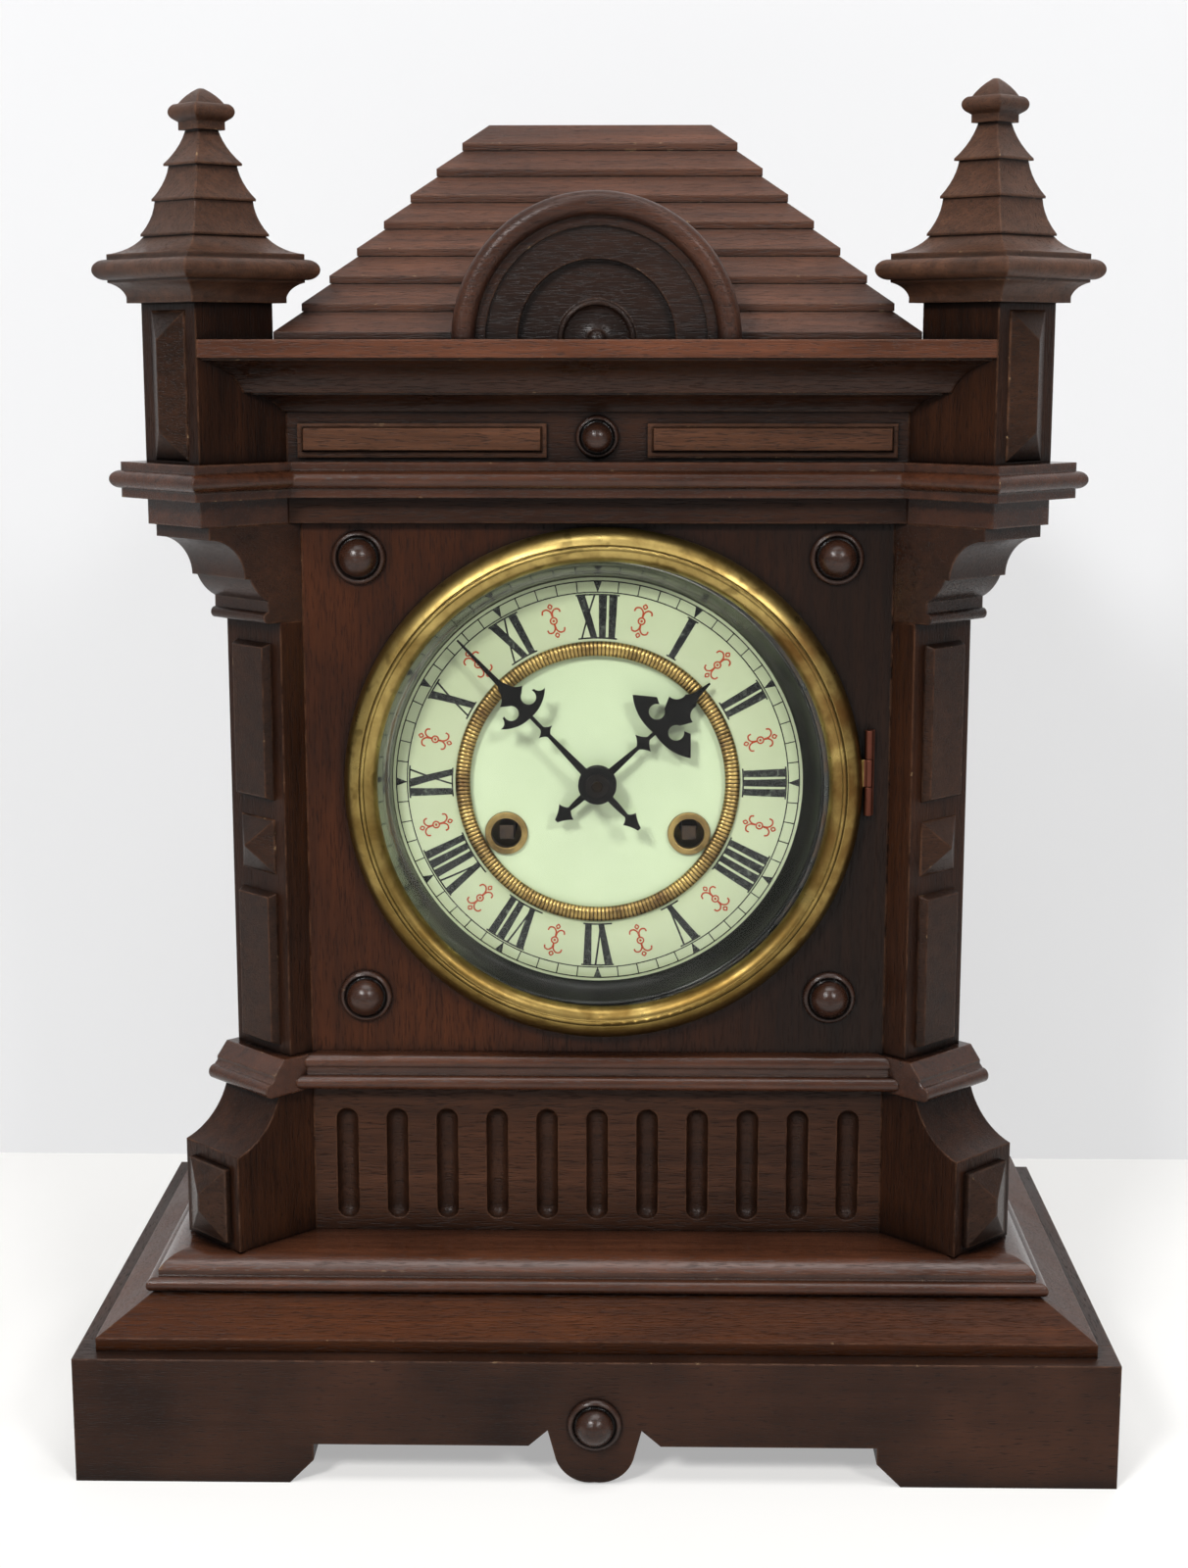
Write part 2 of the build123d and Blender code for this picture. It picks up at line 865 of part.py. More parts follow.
def spire_outline(rise):
    """Half section of a spire: hollow eaves with a torus, three concave tiers and a beaded finial."""
    foot = tower_top + tier_foot
    tier = rise * tier_share
    slab = post_half + eave_flat
    torus_foot = tower_top + eave_torus_foot
    torus_top = tower_top + eave_torus_top
    slab_top = tower_top + eave_slab_top
    hollow_foot = (post_half + eave_hollow, tower_top + eave_fillet)
    hollow_top = (slab, tower_top + eave_hollow_top)
    Polyline((0, tower_top), (post_half + eave_hollow, tower_top), hollow_foot)
    SagittaArc(hollow_foot, hollow_top, eave_hollow / 4)
    Line(hollow_top, (slab, torus_foot))
    torus_middle = (post_half + eave_torus, (torus_foot + torus_top) / 2)
    ThreePointArc((slab, torus_foot), torus_middle, (slab, torus_top))
    Line((slab, torus_top), (slab, slab_top))
    SagittaArc((slab, slab_top), (tier_bottom[0] - tier_lip, foot), eave_hollow / 3)
    start = (tier_bottom[0] - tier_lip, foot)
    level = foot
    for bottom, top in zip(tier_bottom, tier_top):
        Polyline(start, (bottom, level), (bottom, level + tier_lip))
        SagittaArc((bottom, level + tier_lip), (top, level + tier), tier_lip)
        level += tier
        start = (top, level)
    neck_top = level + finial_neck_height
    bead_foot = neck_top + tier_lip
    bead_top = bead_foot + finial_bead_height
    tip = (finial_tip, foot + rise)
    Polyline(start, (finial_neck, level), (finial_neck, neck_top), (finial_waist, bead_foot))
    bead_middle = (finial_bead, (bead_foot + bead_top) / 2)
    ThreePointArc((finial_waist, bead_foot), bead_middle, (finial_waist, bead_top))
    Line((finial_waist, bead_top), (finial_neck, bead_top))
    SagittaArc((finial_neck, bead_top), tip, -finial_dome)
    Polyline(tip, (0, foot + rise), (0, tower_top))


with BuildPart() as left_spire:
    square_stack(lambda: spire_outline(spire_rise_left), -1, post_width)
with BuildPart() as right_spire:
    square_stack(lambda: spire_outline(spire_rise_right), 1, post_width)

with BuildPart() as spires:
    add(left_spire.part)
    add(right_spire.part)
save(spires, "spires")

# Frieze, cove and top board between the towers
with BuildPart() as frieze_board:
    with BuildSketch(Plane.XY.offset(cornice_level)):
        Polygon(*butted_outline(frieze_front, frieze_front + frieze_board_depth, post_half), align=None)
    extrude(amount=board_level - cornice_level)
save(frieze_board, "frieze_board")

with BuildPart() as cove_moulding:
    with BuildSketch(section):
        with BuildLine():
            wall = -frieze_front
            low = frieze_level + cove_foot
            mid = frieze_level + cove_mid
            Polyline((wall, board_level), (wall, low), (wall + cove_fillet, low))
            lower_edge = (wall + cove_lower_reach, mid - cove_edge)
            SagittaArc((wall + cove_fillet, low), lower_edge, cove_lower_bulge)
            Polyline(
                lower_edge,
                (wall + cove_lower_reach, mid),
                (wall + cove_upper_start, mid),
            )
            upper_edge = (wall + cove_upper_reach, board_level - cove_edge)
            SagittaArc((wall + cove_upper_start, mid), upper_edge, cove_upper_bulge)
            Polyline(
                upper_edge,
                (wall + cove_upper_reach, board_level),
                (wall, board_level),
            )
        make_face()
    extrude(amount=half_width, both=True)
    with BuildSketch(Plane.XY.offset(frieze_level)):
        Polygon(*butted_outline(frieze_front - cove_upper_reach, frieze_front, post_half), align=None)
    extrude(amount=frieze_height, mode=Mode.INTERSECT)
save(cove_moulding, "cove_moulding")

with BuildPart() as top_board:
    with BuildSketch(Plane.XY.offset(board_level)):
        rear_reach = tower_reach - post_half
        rear_x = case_half + (rear_reach - post_half) / sqrt(2)
        rear_y = case_front - (rear_reach + post_half) / sqrt(2)
        side_y = rear_y + case_half - rear_x
        half_outline = [
            (span_at(board_front, post_half), board_front),
            (rear_x, rear_y),
            (case_half, side_y),
            (case_half, case_back),
        ]
        Polygon(*half_outline, *[(-x, y) for x, y in reversed(half_outline)], align=None)
    extrude(amount=board_thickness)
save(top_board, "top_board")


def roof_steps(half):
    """Stepped slope of the roof from its foot at half up to the flat top, as points."""
    rise = roof_rise / roof_tiers
    run = roof_run / roof_tiers
    points = []
    for tier in range(roof_tiers):
        edge = half - tier * run
        level = roof_level + tier * rise
        points.append((edge, level))
        points.append((edge, level + roof_lip))
        points.append((edge - run - roof_overhang, level + rise))
    return points


with BuildPart() as roof:
    with BuildSketch(section):
        ridge = (-case_back, roof_level + roof_rise)
        Polygon((-case_back, roof_level), *roof_steps(-roof_front), ridge, align=None)
    extrude(amount=case_half, both=True)
    with BuildSketch(Plane.XZ):
        slope = roof_steps(roof_half)
        Polygon(*slope, *[(-x, z) for x, z in reversed(slope)], align=None)
    extrude(amount=plinth_depth, both=True, mode=Mode.INTERSECT)
    hollow_front = roof_front + roof_wall
    hollow_back = case_back - roof_wall
    with BuildSketch(Plane.XY.offset(roof_level)):
        with Locations((0, (hollow_front + hollow_back) / 2)):
            Rectangle(2 * (roof_half - roof_wall), hollow_back - hollow_front)
    with BuildSketch(Plane.XY.offset(roof_level + roof_rise - roof_wall)):
        shrink = roof_run * (1 - roof_wall / roof_rise)
        with Locations((0, (hollow_front + shrink + hollow_back) / 2)):
            Rectangle(2 * (roof_half - roof_wall - shrink), hollow_back - hollow_front - shrink)
    loft(mode=Mode.SUBTRACT)
save(roof, "roof")

# Half-round lunette, turned and cut in two
with BuildPart() as lunette:
    with BuildSketch(Plane.XY.offset(roof_level)):
        with BuildLine():
            face = roof_front - lunette_depth
            step = face + lunette_ring_step
            field = face + lunette_field_step
            sunk = field + lunette_disc_step
            rim_inner = lunette_radius - lunette_rim
            ring_inner = rim_inner - lunette_ring
            boss_inner = lunette_boss - lunette_boss_bead
            apex = (0, sunk - lunette_boss_bead)
            Polyline((0, roof_front), (lunette_radius, roof_front), (lunette_radius, face))
            SagittaArc((lunette_radius, face), (rim_inner, face), lunette_rim_bulge)
            Polyline((rim_inner, face), (rim_inner, step), (ring_inner, step), (ring_inner, field))
            Polyline((ring_inner, field), (lunette_disc, field), (lunette_disc, sunk), (lunette_boss, sunk))
            SagittaArc((lunette_boss, sunk), (boss_inner, sunk), lunette_boss_bead / 2)
            SagittaArc((boss_inner, sunk), (lunette_button, sunk), -lunette_boss_bead / 2)
            TangentArc(apex, (lunette_button, sunk), tangent=(1, 0))
            Line(apex, (0, roof_front))
        make_face()
    revolve(axis=Axis((0, 0, roof_level), (0, 1, 0)))
    split(bisect_by=Plane.XY.offset(roof_level), keep=Keep.TOP)
save(lunette, "lunette")

# Case sides, back frame and seat board
with BuildPart() as side_panels:
    with BuildSketch(Plane.XY.offset(base_level)):
        inner = case_half - side_board
        front_outer = case_front + sqrt(2) * post_half
        outline = [
            (case_half, front_outer),
            (case_half, case_back),
            (inner, case_back),
            (inner, front_outer + side_board),
        ]
        Polygon(*outline, align=None)
        mirror(about=Plane.YZ)
    extrude(amount=board_level - base_level)
save(side_panels, "side_panels")

with BuildPart() as back_frame:
    with BuildSketch(front(case_back)):
        with Locations((0, (base_level + board_level) / 2)):
            Rectangle(case_width - 2 * side_board, board_level - base_level)
        with Locations((0, base_level + (door_low + door_high) / 2)):
            Rectangle(2 * door_half, door_high - door_low, mode=Mode.SUBTRACT)
    extrude(amount=back_board)
save(back_frame, "back_frame")

with BuildPart() as seat_board:
    seat_back = back_plate_y + plate_thickness
    seat_front = pan_back + pan_sheet + fit_clearance
    seat_half = case_half - side_board
    post_line = case_half - case_front + sqrt(2) * post_back - 2 * fit_clearance
    with BuildSketch(Plane.XY.offset(seat_level - seat_thickness)):
        half_outline = [
            (post_line + seat_front, seat_front),
            (seat_half, seat_half - post_line),
            (seat_half, seat_back),
        ]
        Polygon(*half_outline, *[(-x, y) for x, y in reversed(half_outline)], align=None)
    extrude(amount=seat_thickness)
save(seat_board, "seat_board")

# Back door on two butt hinges
hinge_x = -door_half + door_gap / 2
hinge_y = case_back + hinge_knuckle
hinge_levels = (base_level + door_low + door_hinge_inset, base_level + door_high - door_hinge_inset)

with BuildPart() as back_door:
    with BuildSketch(front(case_back)):
        with Locations((0, base_level + (door_low + door_high) / 2)):
            Rectangle(2 * (door_half - door_gap), door_high - door_low - 2 * door_gap)
    extrude(amount=back_board)
    fillet(back_door.edges().filter_by(Axis.Z).group_by(Axis.Y)[-1], door_gap)
save(back_door, "back_door")


def hinge_knuckles(side, offsets, bore):
    """Leaf and knuckles of a back-door hinge on one side of its pin."""
    for level in hinge_levels:
        for offset in offsets:
            with BuildSketch(Plane.XY.offset(level + offset * door_knuckle + hinge_gap / 4)) as knuckle:
                with Locations((hinge_x, hinge_y)):
                    Circle(hinge_knuckle - hinge_gap / 4)
                leaf_x = hinge_x + side * door_hinge_leaf / 2
                with Locations((leaf_x, case_back + door_hinge_sheet / 2)):
                    Rectangle(door_hinge_leaf, door_hinge_sheet)
                with Locations((hinge_x, hinge_y)):
                    Circle(bore, mode=Mode.SUBTRACT)
            extrude(knuckle.sketch, amount=door_knuckle - hinge_gap / 2)


with BuildPart() as door_hinge_leaves:
    hinge_knuckles(1, (0,), hinge_pin + run_clearance)
save(door_hinge_leaves, "door_hinge_leaves")

with BuildPart() as frame_hinge_leaves:
    hinge_knuckles(-1, (-1, 1), hinge_pin)
    for level in hinge_levels:
        with BuildSketch(Plane.XY.offset(level - door_knuckle)):
            with Locations((hinge_x, hinge_y)):
                Circle(hinge_pin)
        extrude(amount=3 * door_knuckle)
save(frame_hinge_leaves, "frame_hinge_leaves")

with BuildPart() as door_knob:
    knob_x = door_half - knob_margin
    knob_z = base_level + (door_low + door_high) / 2
    knob_reach = back_inset + button_height
    with BuildSketch(Plane.XY.offset(knob_z)):
        with BuildLine():
            apex = (knob_x, case_back + knob_reach)
            widest = (knob_x + knob_radius, case_back + knob_reach - knob_crown)
            neck = (knob_x + knob_neck, case_back + knob_crown)
            flange = (knob_x + knob_radius, case_back + knob_crown / 2)
            TangentArc(apex, widest, tangent=(1, 0))
            SagittaArc(widest, neck, -knob_crown / 4)
            Polyline(neck, flange, (knob_x + knob_radius, case_back), (knob_x, case_back), apex)
        make_face()
    revolve(axis=Axis((knob_x, case_back, knob_z), (0, 1, 0)))
save(door_knob, "door_knob")

# Applied raised panels and faceted bosses
facet_width = post_width - 2 * facet_margin
panel_width = post_width - 2 * panel_margin
shaft_panel_high = corbel_level - shaft_panel_top_gap
shaft_panel_low = shaft_level + shaft_panel_low_gap
shaft_panel_length = (shaft_panel_high - shaft_panel_low - 2 * boss_gap - boss_size) / 2
boss_level = shaft_panel_low + shaft_panel_length + boss_gap + boss_size / 2
frieze_middle = frieze_level + frieze_panel_low + frieze_panel_height / 2
frieze_panel_outer = span_at(frieze_front, post_half) - frieze_panel_end_gap
frieze_panel_half = (frieze_panel_outer - frieze_panel_inner) / 2
frieze_panel_centre = (frieze_panel_outer + frieze_panel_inner) / 2

with BuildPart() as applied_panels:
    for side in (-1, 1):
        with BuildSketch(post_face(side, foot_reach)):
            with Locations((0, base_level + foot_block / 2 - facet_drop)):
                Rectangle(facet_width, foot_block - 2 * facet_end_gap)
        extrude(amount=facet_base)
        with BuildSketch(post_face(side, foot_reach + facet_base)):
            with Locations((0, base_level + foot_block / 2 - facet_drop)):
                Rectangle(facet_width - facet_step, foot_block - 2 * facet_end_gap - facet_step)
        extrude(amount=facet_proud, taper=facet_angle)
        for level in (shaft_panel_low + shaft_panel_length / 2, shaft_panel_high - shaft_panel_length / 2):
            with BuildSketch(post_face(side, shaft_reach)):
                with Locations((0, level)):
                    Rectangle(panel_width, shaft_panel_length)
            extrude(amount=shaft_panel_proud, taper=panel_angle)
        with BuildSketch(post_face(side, shaft_reach)):
            with Locations((0, boss_level)):
                Rectangle(boss_size, boss_size)
        extrude(amount=boss_proud, taper=boss_angle)
        with BuildSketch(post_face(side, tower_reach + post_half)):
            with Locations((0, frieze_level + tower_height / 2 - tower_panel_drop)):
                Rectangle(panel_width, tower_height - 2 * tower_panel_gap)
        extrude(amount=tower_panel_proud, taper=tower_panel_angle)
        with BuildSketch(front(frieze_front)):
            with Locations((side * frieze_panel_centre, frieze_middle)):
                Rectangle(2 * frieze_panel_half, frieze_panel_height)
        extrude(amount=frieze_panel_base)
        with BuildSketch(front(frieze_front - frieze_panel_base)):
            with Locations((side * frieze_panel_centre, frieze_middle + frieze_panel_lift)):
                raised_half = frieze_panel_half - frieze_panel_inset
                Rectangle(2 * raised_half, frieze_panel_height - 2 * frieze_panel_inset)
        extrude(amount=frieze_panel_proud, taper=panel_angle)
save(applied_panels, "applied_panels")

# Turned buttons: four on the dial panel, one on the frieze and one on the plinth's drop
button_places = [
    (side * button_x, case_front, level, 1.0)
    for side in (-1, 1)
    for level in (shaft_level + button_rise, cornice_level - button_drop)
]
button_places.append((0, frieze_front, frieze_level + frieze_button_rise, frieze_button_scale))
button_places.append((0, -half_depth, plinth_height / 2, 1.0))

with BuildPart() as turned_buttons:
    for x, y, z, scale in button_places:
        with BuildSketch(Plane.XY.offset(z)):
            with BuildLine():
                collar = button_collar * scale
                knob = button_knob * scale
                collar_rim = (x + (collar + knob) / 2, y - button_rim)
                groove = (x + knob, y - button_rim / 2)
                shoulder = (x + knob, y - button_shoulder)
                apex = (x, y - button_height)
                Polyline(apex, (x, y), (x + collar, y))
                SagittaArc((x + collar, y), collar_rim, button_rim / 4)
                Polyline(collar_rim, groove, shoulder)
                TangentArc(apex, shoulder, tangent=(1, 0))
            make_face()
        revolve(axis=Axis((x, y, z), (0, 1, 0)))
save(turned_buttons, "turned_buttons")

# Dial: a brass pan behind the bezel, two enamel pieces and a milled brass ring
centre = (0, dial_z)
winding = {side: (side * winding_x, winding_z) for side in (-1, 1)}
hour_pipe_inner = cannon_pipe + run_clearance
hour_pipe_outer = hour_pipe_inner + hour_pipe_wall
dial_bore = hour_pipe_outer + fit_clearance


def ring(inner, outer, y_front, y_back, middle):
    """Flat ring about a point of the front view."""
    with BuildSketch(front(y_back)) as profile:
        with Locations(middle):
            Circle(outer)
            Circle(inner, mode=Mode.SUBTRACT)
    extrude(profile.sketch, amount=y_back - y_front)


with BuildPart() as dial_pan:
    ring(pan_radius, pan_flange, pan_front, case_front, centre)
    ring(pan_radius - pan_sheet, pan_radius, pan_front, pan_back + pan_sheet, centre)
    ring(dial_bore, pan_radius, pan_back, pan_back + pan_sheet, centre)
    drill(winding.values(), winding_hole, pan_back, pan_back + pan_sheet)
save(dial_pan, "dial_pan")

with BuildPart() as chapter_ring:
    with BuildSketch(Plane.XY.offset(dial_z)):
        with BuildLine():
            Polyline(
                (chapter_outer, dial_face + chapter_outer_drop),
                (chapter_outer, pan_back),
                (chapter_inner, pan_back),
                (chapter_inner, dial_face + chapter_inner_drop),
            )
            inner_edge = (chapter_inner, dial_face + chapter_inner_drop)
            SagittaArc(inner_edge, (chapter_outer, dial_face + chapter_outer_drop), -chapter_dome)
        make_face()
    revolve(axis=Axis((0, 0, dial_z), (0, 1, 0)))
    drill(winding.values(), winding_collar + run_clearance, dial_face - chapter_dome, pan_back)
save(chapter_ring, "chapter_ring")

with BuildPart() as dial_centre:
    ring(dial_bore, chapter_inner - fit_clearance, pan_back - centre_thickness, pan_back, centre)
    drill(winding.values(), winding_collar + run_clearance, pan_back - centre_thickness, pan_back)
save(dial_centre, "dial_centre")

with BuildPart() as milled_ring:
    with BuildSketch(Plane.XY.offset(dial_z)):
        with BuildLine():
            inner_top = (rope_radius - rope_section + rope_flank, dial_face - rope_foot)
            outer_top = (rope_radius + rope_section - rope_flank, dial_face - rope_foot)
            rope_outer = (rope_radius + rope_section, dial_face)
            Polyline(rope_outer, (rope_radius - rope_section, dial_face), inner_top)
            SagittaArc(inner_top, outer_top, -rope_crown)
            Line(outer_top, rope_outer)
        make_face()
    revolve(axis=Axis((0, 0, dial_z), (0, 1, 0)))
save(milled_ring, "milled_ring")

with BuildPart() as winding_collars:
    collar_front = pan_back - centre_thickness - winding_collar_proud
    for place in winding.values():
        ring(winding_hole, winding_collar, collar_front, pan_back, place)
save(winding_collars, "winding_collars")

# Bezel, glass and hinge
bezel_centre = (bezel_shift_x, bezel_z)
bezel_back = pan_front
bezel_front = bezel_back - bezel_height
glass_back = bezel_back - glass_recess
bezel_hinge_x = bezel_shift_x + bezel_radius + hinge_knuckle + hinge_gap
bezel_hinge_y = case_front - hinge_knuckle - hinge_gap
bezel_knuckle = hinge_length / 3
hinge_z = bezel_z + hinge_rise

with BuildPart() as bezel:
    with BuildSketch(Plane.XY.offset(bezel_z)):
        with BuildLine():
            x0 = bezel_shift_x
            seat_y = glass_back - glass_thickness
            outer = (x0 + bezel_radius, bezel_back - bezel_edge)
            crown_x = x0 + bezel_radius - bezel_crown_inset
            crown = (crown_x, bezel_front + bezel_crown_drop)
            groove = (crown_x - bezel_groove, bezel_front + bezel_crown_drop + bezel_groove)
            bead_start = (crown_x - bezel_groove, bezel_front + bezel_groove)
            bead_end = (crown_x - bezel_groove - bezel_bead_width, bezel_front + bezel_groove)
            inner = (crown_x - bezel_groove - bezel_bead_width, bezel_front + bezel_crown_drop)
            lip = (x0 + bezel_lip, seat_y - bezel_lip_edge)
            Polyline(
                outer,
                (x0 + bezel_radius, bezel_back),
                (x0 + glass_radius + run_clearance, bezel_back),
                (x0 + glass_radius + run_clearance, seat_y),
                (x0 + bezel_lip, seat_y),
                lip,
            )
            SagittaArc(lip, inner, -bezel_inner_bulge)
            Line(inner, bead_end)
            SagittaArc(bead_end, bead_start, -bezel_groove)
            Polyline(bead_start, groove, crown)
            SagittaArc(crown, outer, -bezel_crown_bulge)
        make_face()
    revolve(axis=Axis((bezel_shift_x, 0, bezel_z), (0, 1, 0)))
    with BuildSketch(Plane.XY.offset(hinge_z - bezel_knuckle / 2 + hinge_gap / 2)):
        with Locations((bezel_hinge_x, bezel_hinge_y)):
            Circle(hinge_knuckle)
        tab = bezel_hinge_x - bezel_shift_x - bezel_radius + hinge_tab
        with Locations((bezel_hinge_x - tab / 2, bezel_hinge_y)):
            Rectangle(tab, 2 * hinge_knuckle - 2 * hinge_gap)
        with Locations((bezel_hinge_x, bezel_hinge_y)):
            Circle(hinge_pin + run_clearance, mode=Mode.SUBTRACT)
    extrude(amount=bezel_knuckle - hinge_gap)
save(bezel, "bezel")

with BuildPart() as bezel_glass:
    with BuildSketch(front(glass_back)):
        with Locations(bezel_centre):
            Circle(glass_radius)
    extrude(amount=glass_thickness)
save(bezel_glass, "bezel_glass")

with BuildPart() as bezel_hinge:
    for end in (-1, 1):
        with BuildSketch(Plane.XY.offset(hinge_z + end * bezel_knuckle - bezel_knuckle / 2)):
            with Locations((bezel_hinge_x, bezel_hinge_y)):
                Circle(hinge_knuckle)
            with Locations((bezel_hinge_x + hinge_leaf / 2, case_front - hinge_gap)):
                Rectangle(hinge_leaf, 2 * hinge_gap)
        extrude(amount=bezel_knuckle)
    with BuildSketch(Plane.XY.offset(hinge_z - hinge_length / 2)):
        with Locations((bezel_hinge_x, bezel_hinge_y)):
            Circle(hinge_pin)
        with Locations((bezel_hinge_x + hinge_leaf - hinge_leaf_edge / 2, case_front - hinge_gap)):
            Rectangle(hinge_leaf_edge, 2 * hinge_gap)
    extrude(amount=hinge_length)
save(bezel_hinge, "bezel_hinge")

# Hands, cut from sheet: a tapered stem, a cross collar, two horned scrolls, a cusped spear and an arrow tail
hour_hand_back = dial_face - hour_hand_gap
minute_hand_back = hour_hand_back - hand_sheet - hand_gap
minute_length = chapter_outer - minute_tip_gap


def hand_outline(hand, length):
    """Right half of a fretted hand along local Y; its ornaments are measured back from the tip."""

    def at(name):
        across, back = hand[name]
        return (across, length - back)

    def on_eye(angle):
        across, middle = at("eye")
        return (across + hand["eye_radius"] * cos(angle), middle + hand["eye_radius"] * sin(angle))

    tail = -hand["tail"]
    barb = (hand["barb"][0], tail + hand["barb"][1])
    tail_neck = (hand_neck, barb[1] + hand_stem)
    collar = length - hand["collar"]
    collar_foot = (hand_neck, collar - hand["collar_rise"])
    collar_tip = (hand["collar_half"], collar)
    collar_top = (hand_neck, collar + hand["collar_rise"])
    fork = (hand_neck, length - hand["fork"])
    Polyline((0, length), (0, tail), (hand_neck, tail))
    SagittaArc((hand_neck, tail), barb, hand_curve)
    SagittaArc(barb, tail_neck, hand_curve)
    SagittaArc(tail_neck, (hand_neck, 0), -hand_leaf)
    Polyline((hand_neck, 0), (hand_stem, 0), collar_foot)
    SagittaArc(collar_foot, collar_tip, hand_curve)
    SagittaArc(collar_tip, collar_top, hand_curve)
    Line(collar_top, fork)
    ThreePointArc(fork, at("scroll"), at("horn"))
    ThreePointArc(at("horn"), at("dip"), at("bump"))
    Line(at("bump"), on_eye(hand["lip"]))
    ThreePointArc(on_eye(hand["lip"]), on_eye(hand_eye_angle), on_eye(hand_end_angle))
    Line(on_eye(hand_end_angle), at("cusp"))
    ThreePointArc(at("cusp"), at("waist"), at("knop"))
    SagittaArc(at("knop"), at("needle"), hand_curve)
    Polyline(at("needle"), (hand_needle, length), (0, length))


def hand_plane(y, angle):
    """Plane of a hand at depth y, turned clockwise from twelve."""
    tilt = radians(angle)
    return Plane(origin=(0, y, dial_z), x_dir=(cos(tilt), 0, -sin(tilt)), z_dir=(0, -1, 0))


with BuildPart() as hour_hand:
    with BuildSketch(hand_plane(hour_hand_back, hour_angle)):
        with BuildLine():
            hand_outline(hour_shape, hour_length)
        make_face()
        mirror(about=Plane.YZ)
        Circle(hand_hub)
        Circle(hour_pipe_outer - hour_pipe_wall / 2, mode=Mode.SUBTRACT)
    extrude(amount=hand_sheet)
save(hour_hand, "hour_hand")

with BuildPart() as minute_hand:
    with BuildSketch(hand_plane(minute_hand_back, minute_angle)):
        with BuildLine():
            hand_outline(minute_shape, minute_length)
        make_face()
        mirror(about=Plane.YZ)
        Circle(hand_hub)
        Circle(centre_arbor, mode=Mode.SUBTRACT)
    extrude(amount=hand_sheet)
save(minute_hand, "minute_hand")

# Movement: arbor places in the front view
third_distance = train_module * (centre_teeth + third_pinion_teeth) / 2
third = (third_offset, dial_z + sqrt(third_distance**2 - third_offset**2))
escape_distance = escape_module * (third_teeth + escape_pinion_teeth) / 2
escape = (0, third[1] + sqrt(escape_distance**2 - third_offset**2))
pallet = (0, escape[1] + pallet_rise)
minute_stud = (0, dial_z + motion_distance)
strike_distance = strike_module * (strike_teeth + strike_pinion_teeth) / 2
pin_place = (
    winding[-1][0] + strike_distance * cos(strike_angle),
    winding[-1][1] + strike_distance * sin(strike_angle),
)
hammer_place = (hammer_x, seat_level + hammer_rise)
barrel_module = hypot(winding_x, winding_drop) * 2 / (barrel_teeth + centre_pinion_teeth)
cannon_module = motion_distance * 2 / (cannon_teeth + minute_teeth)
hour_module = motion_distance * 2 / (minute_pinion_teeth + hour_teeth)
plate_inner = front_plate_y + plate_thickness
rod_y = back_plate_y + plate_thickness + rod_gap
pillar_places = [
    (side * (plate_half - pillar_inset), level)
    for side in (-1, 1)
    for level in (seat_level + pillar_inset, dial_z + plate_top - pillar_inset)
]
train_places = [third, escape, pallet, pin_place]


def plate(y):
    """Pierced movement plate standing on the seat board."""
    with BuildSketch(front(y + plate_thickness)) as sheet:
        with Locations((0, (seat_level + dial_z + plate_top) / 2)):
            Rectangle(2 * plate_half, dial_z + plate_top - seat_level)
    extrude(sheet.sketch, amount=plate_thickness)
    drill(winding.values(), winding_arbor + run_clearance, y, y + plate_thickness)
    drill([centre], centre_arbor + run_clearance, y, y + plate_thickness)
    drill(train_places, train_arbor + run_clearance, y, y + plate_thickness)


with BuildPart() as movement_front_plate:
    plate(front_plate_y)
    rod(minute_stud, stud_radius, front_plate_y - stud_length, front_plate_y)
save(movement_front_plate, "movement_front_plate")

with BuildPart() as movement_back_plate:
    plate(back_plate_y)
    drill([hammer_place], stud_radius + run_clearance, back_plate_y, back_plate_y + plate_thickness)
    with BuildSketch(section):
        cock_foot = pallet[1] + cock_rise
        wall = -(back_plate_y + plate_thickness)
        Polygon(
            (wall, cock_foot),
            (wall, cock_foot + cock_height),
            (-rod_y - cock_reach, cock_foot + cock_height),
            (-rod_y - cock_reach, pallet[1] + fit_clearance),
            (-rod_y + cock_reach, pallet[1] + fit_clearance),
            (-rod_y + cock_reach, cock_foot),
            align=None,
        )
    extrude(amount=cock_height, both=True)
save(movement_back_plate, "movement_back_plate")

with BuildPart() as movement_pillars:
    for place in pillar_places:
        rod(place, pillar_radius, plate_inner, back_plate_y)
save(movement_pillars, "movement_pillars")

barrel_front = plate_inner + barrel_gap
barrel_rim_back = barrel_front + barrel_rim
for side, name, teeth, module, drum, partner in (
    (1, "going_barrel", barrel_teeth, barrel_module, barrel_drum, centre),
    (-1, "strike_barrel", strike_teeth, strike_module, strike_drum, pin_place),
):
    with BuildPart() as barrel:
        place = winding[side]
        outline = rim(teeth, module, toward(place, partner), True)
        toothed(place, outline, barrel_rim_back, barrel_rim)
        rod(place, drum, barrel_rim_back, barrel_front + barrel_depth)
        drill([place], winding_arbor + run_clearance, barrel_front, barrel_front + barrel_depth)
    save(barrel, name)

arbor_front = pan_back - centre_thickness + winding_square_sink
square_back = front_plate_y - winding_square_foot
for side, name in ((1, "going_winding_arbor"), (-1, "strike_winding_arbor")):
    with BuildPart() as winding_post:
        rod(winding[side], winding_arbor, square_back, back_plate_y + plate_thickness)
        with BuildSketch(front(square_back)):
            with Locations(winding[side]):
                Rectangle(winding_square, winding_square)
        extrude(amount=square_back - arbor_front)
    save(winding_post, name)

centre_wheel_y = back_plate_y - centre_wheel_gap
third_wheel_y = back_plate_y - third_wheel_gap
escape_wheel_y = back_plate_y - escape_wheel_gap
hand_tip = minute_hand_back - hand_sheet - arbor_tip

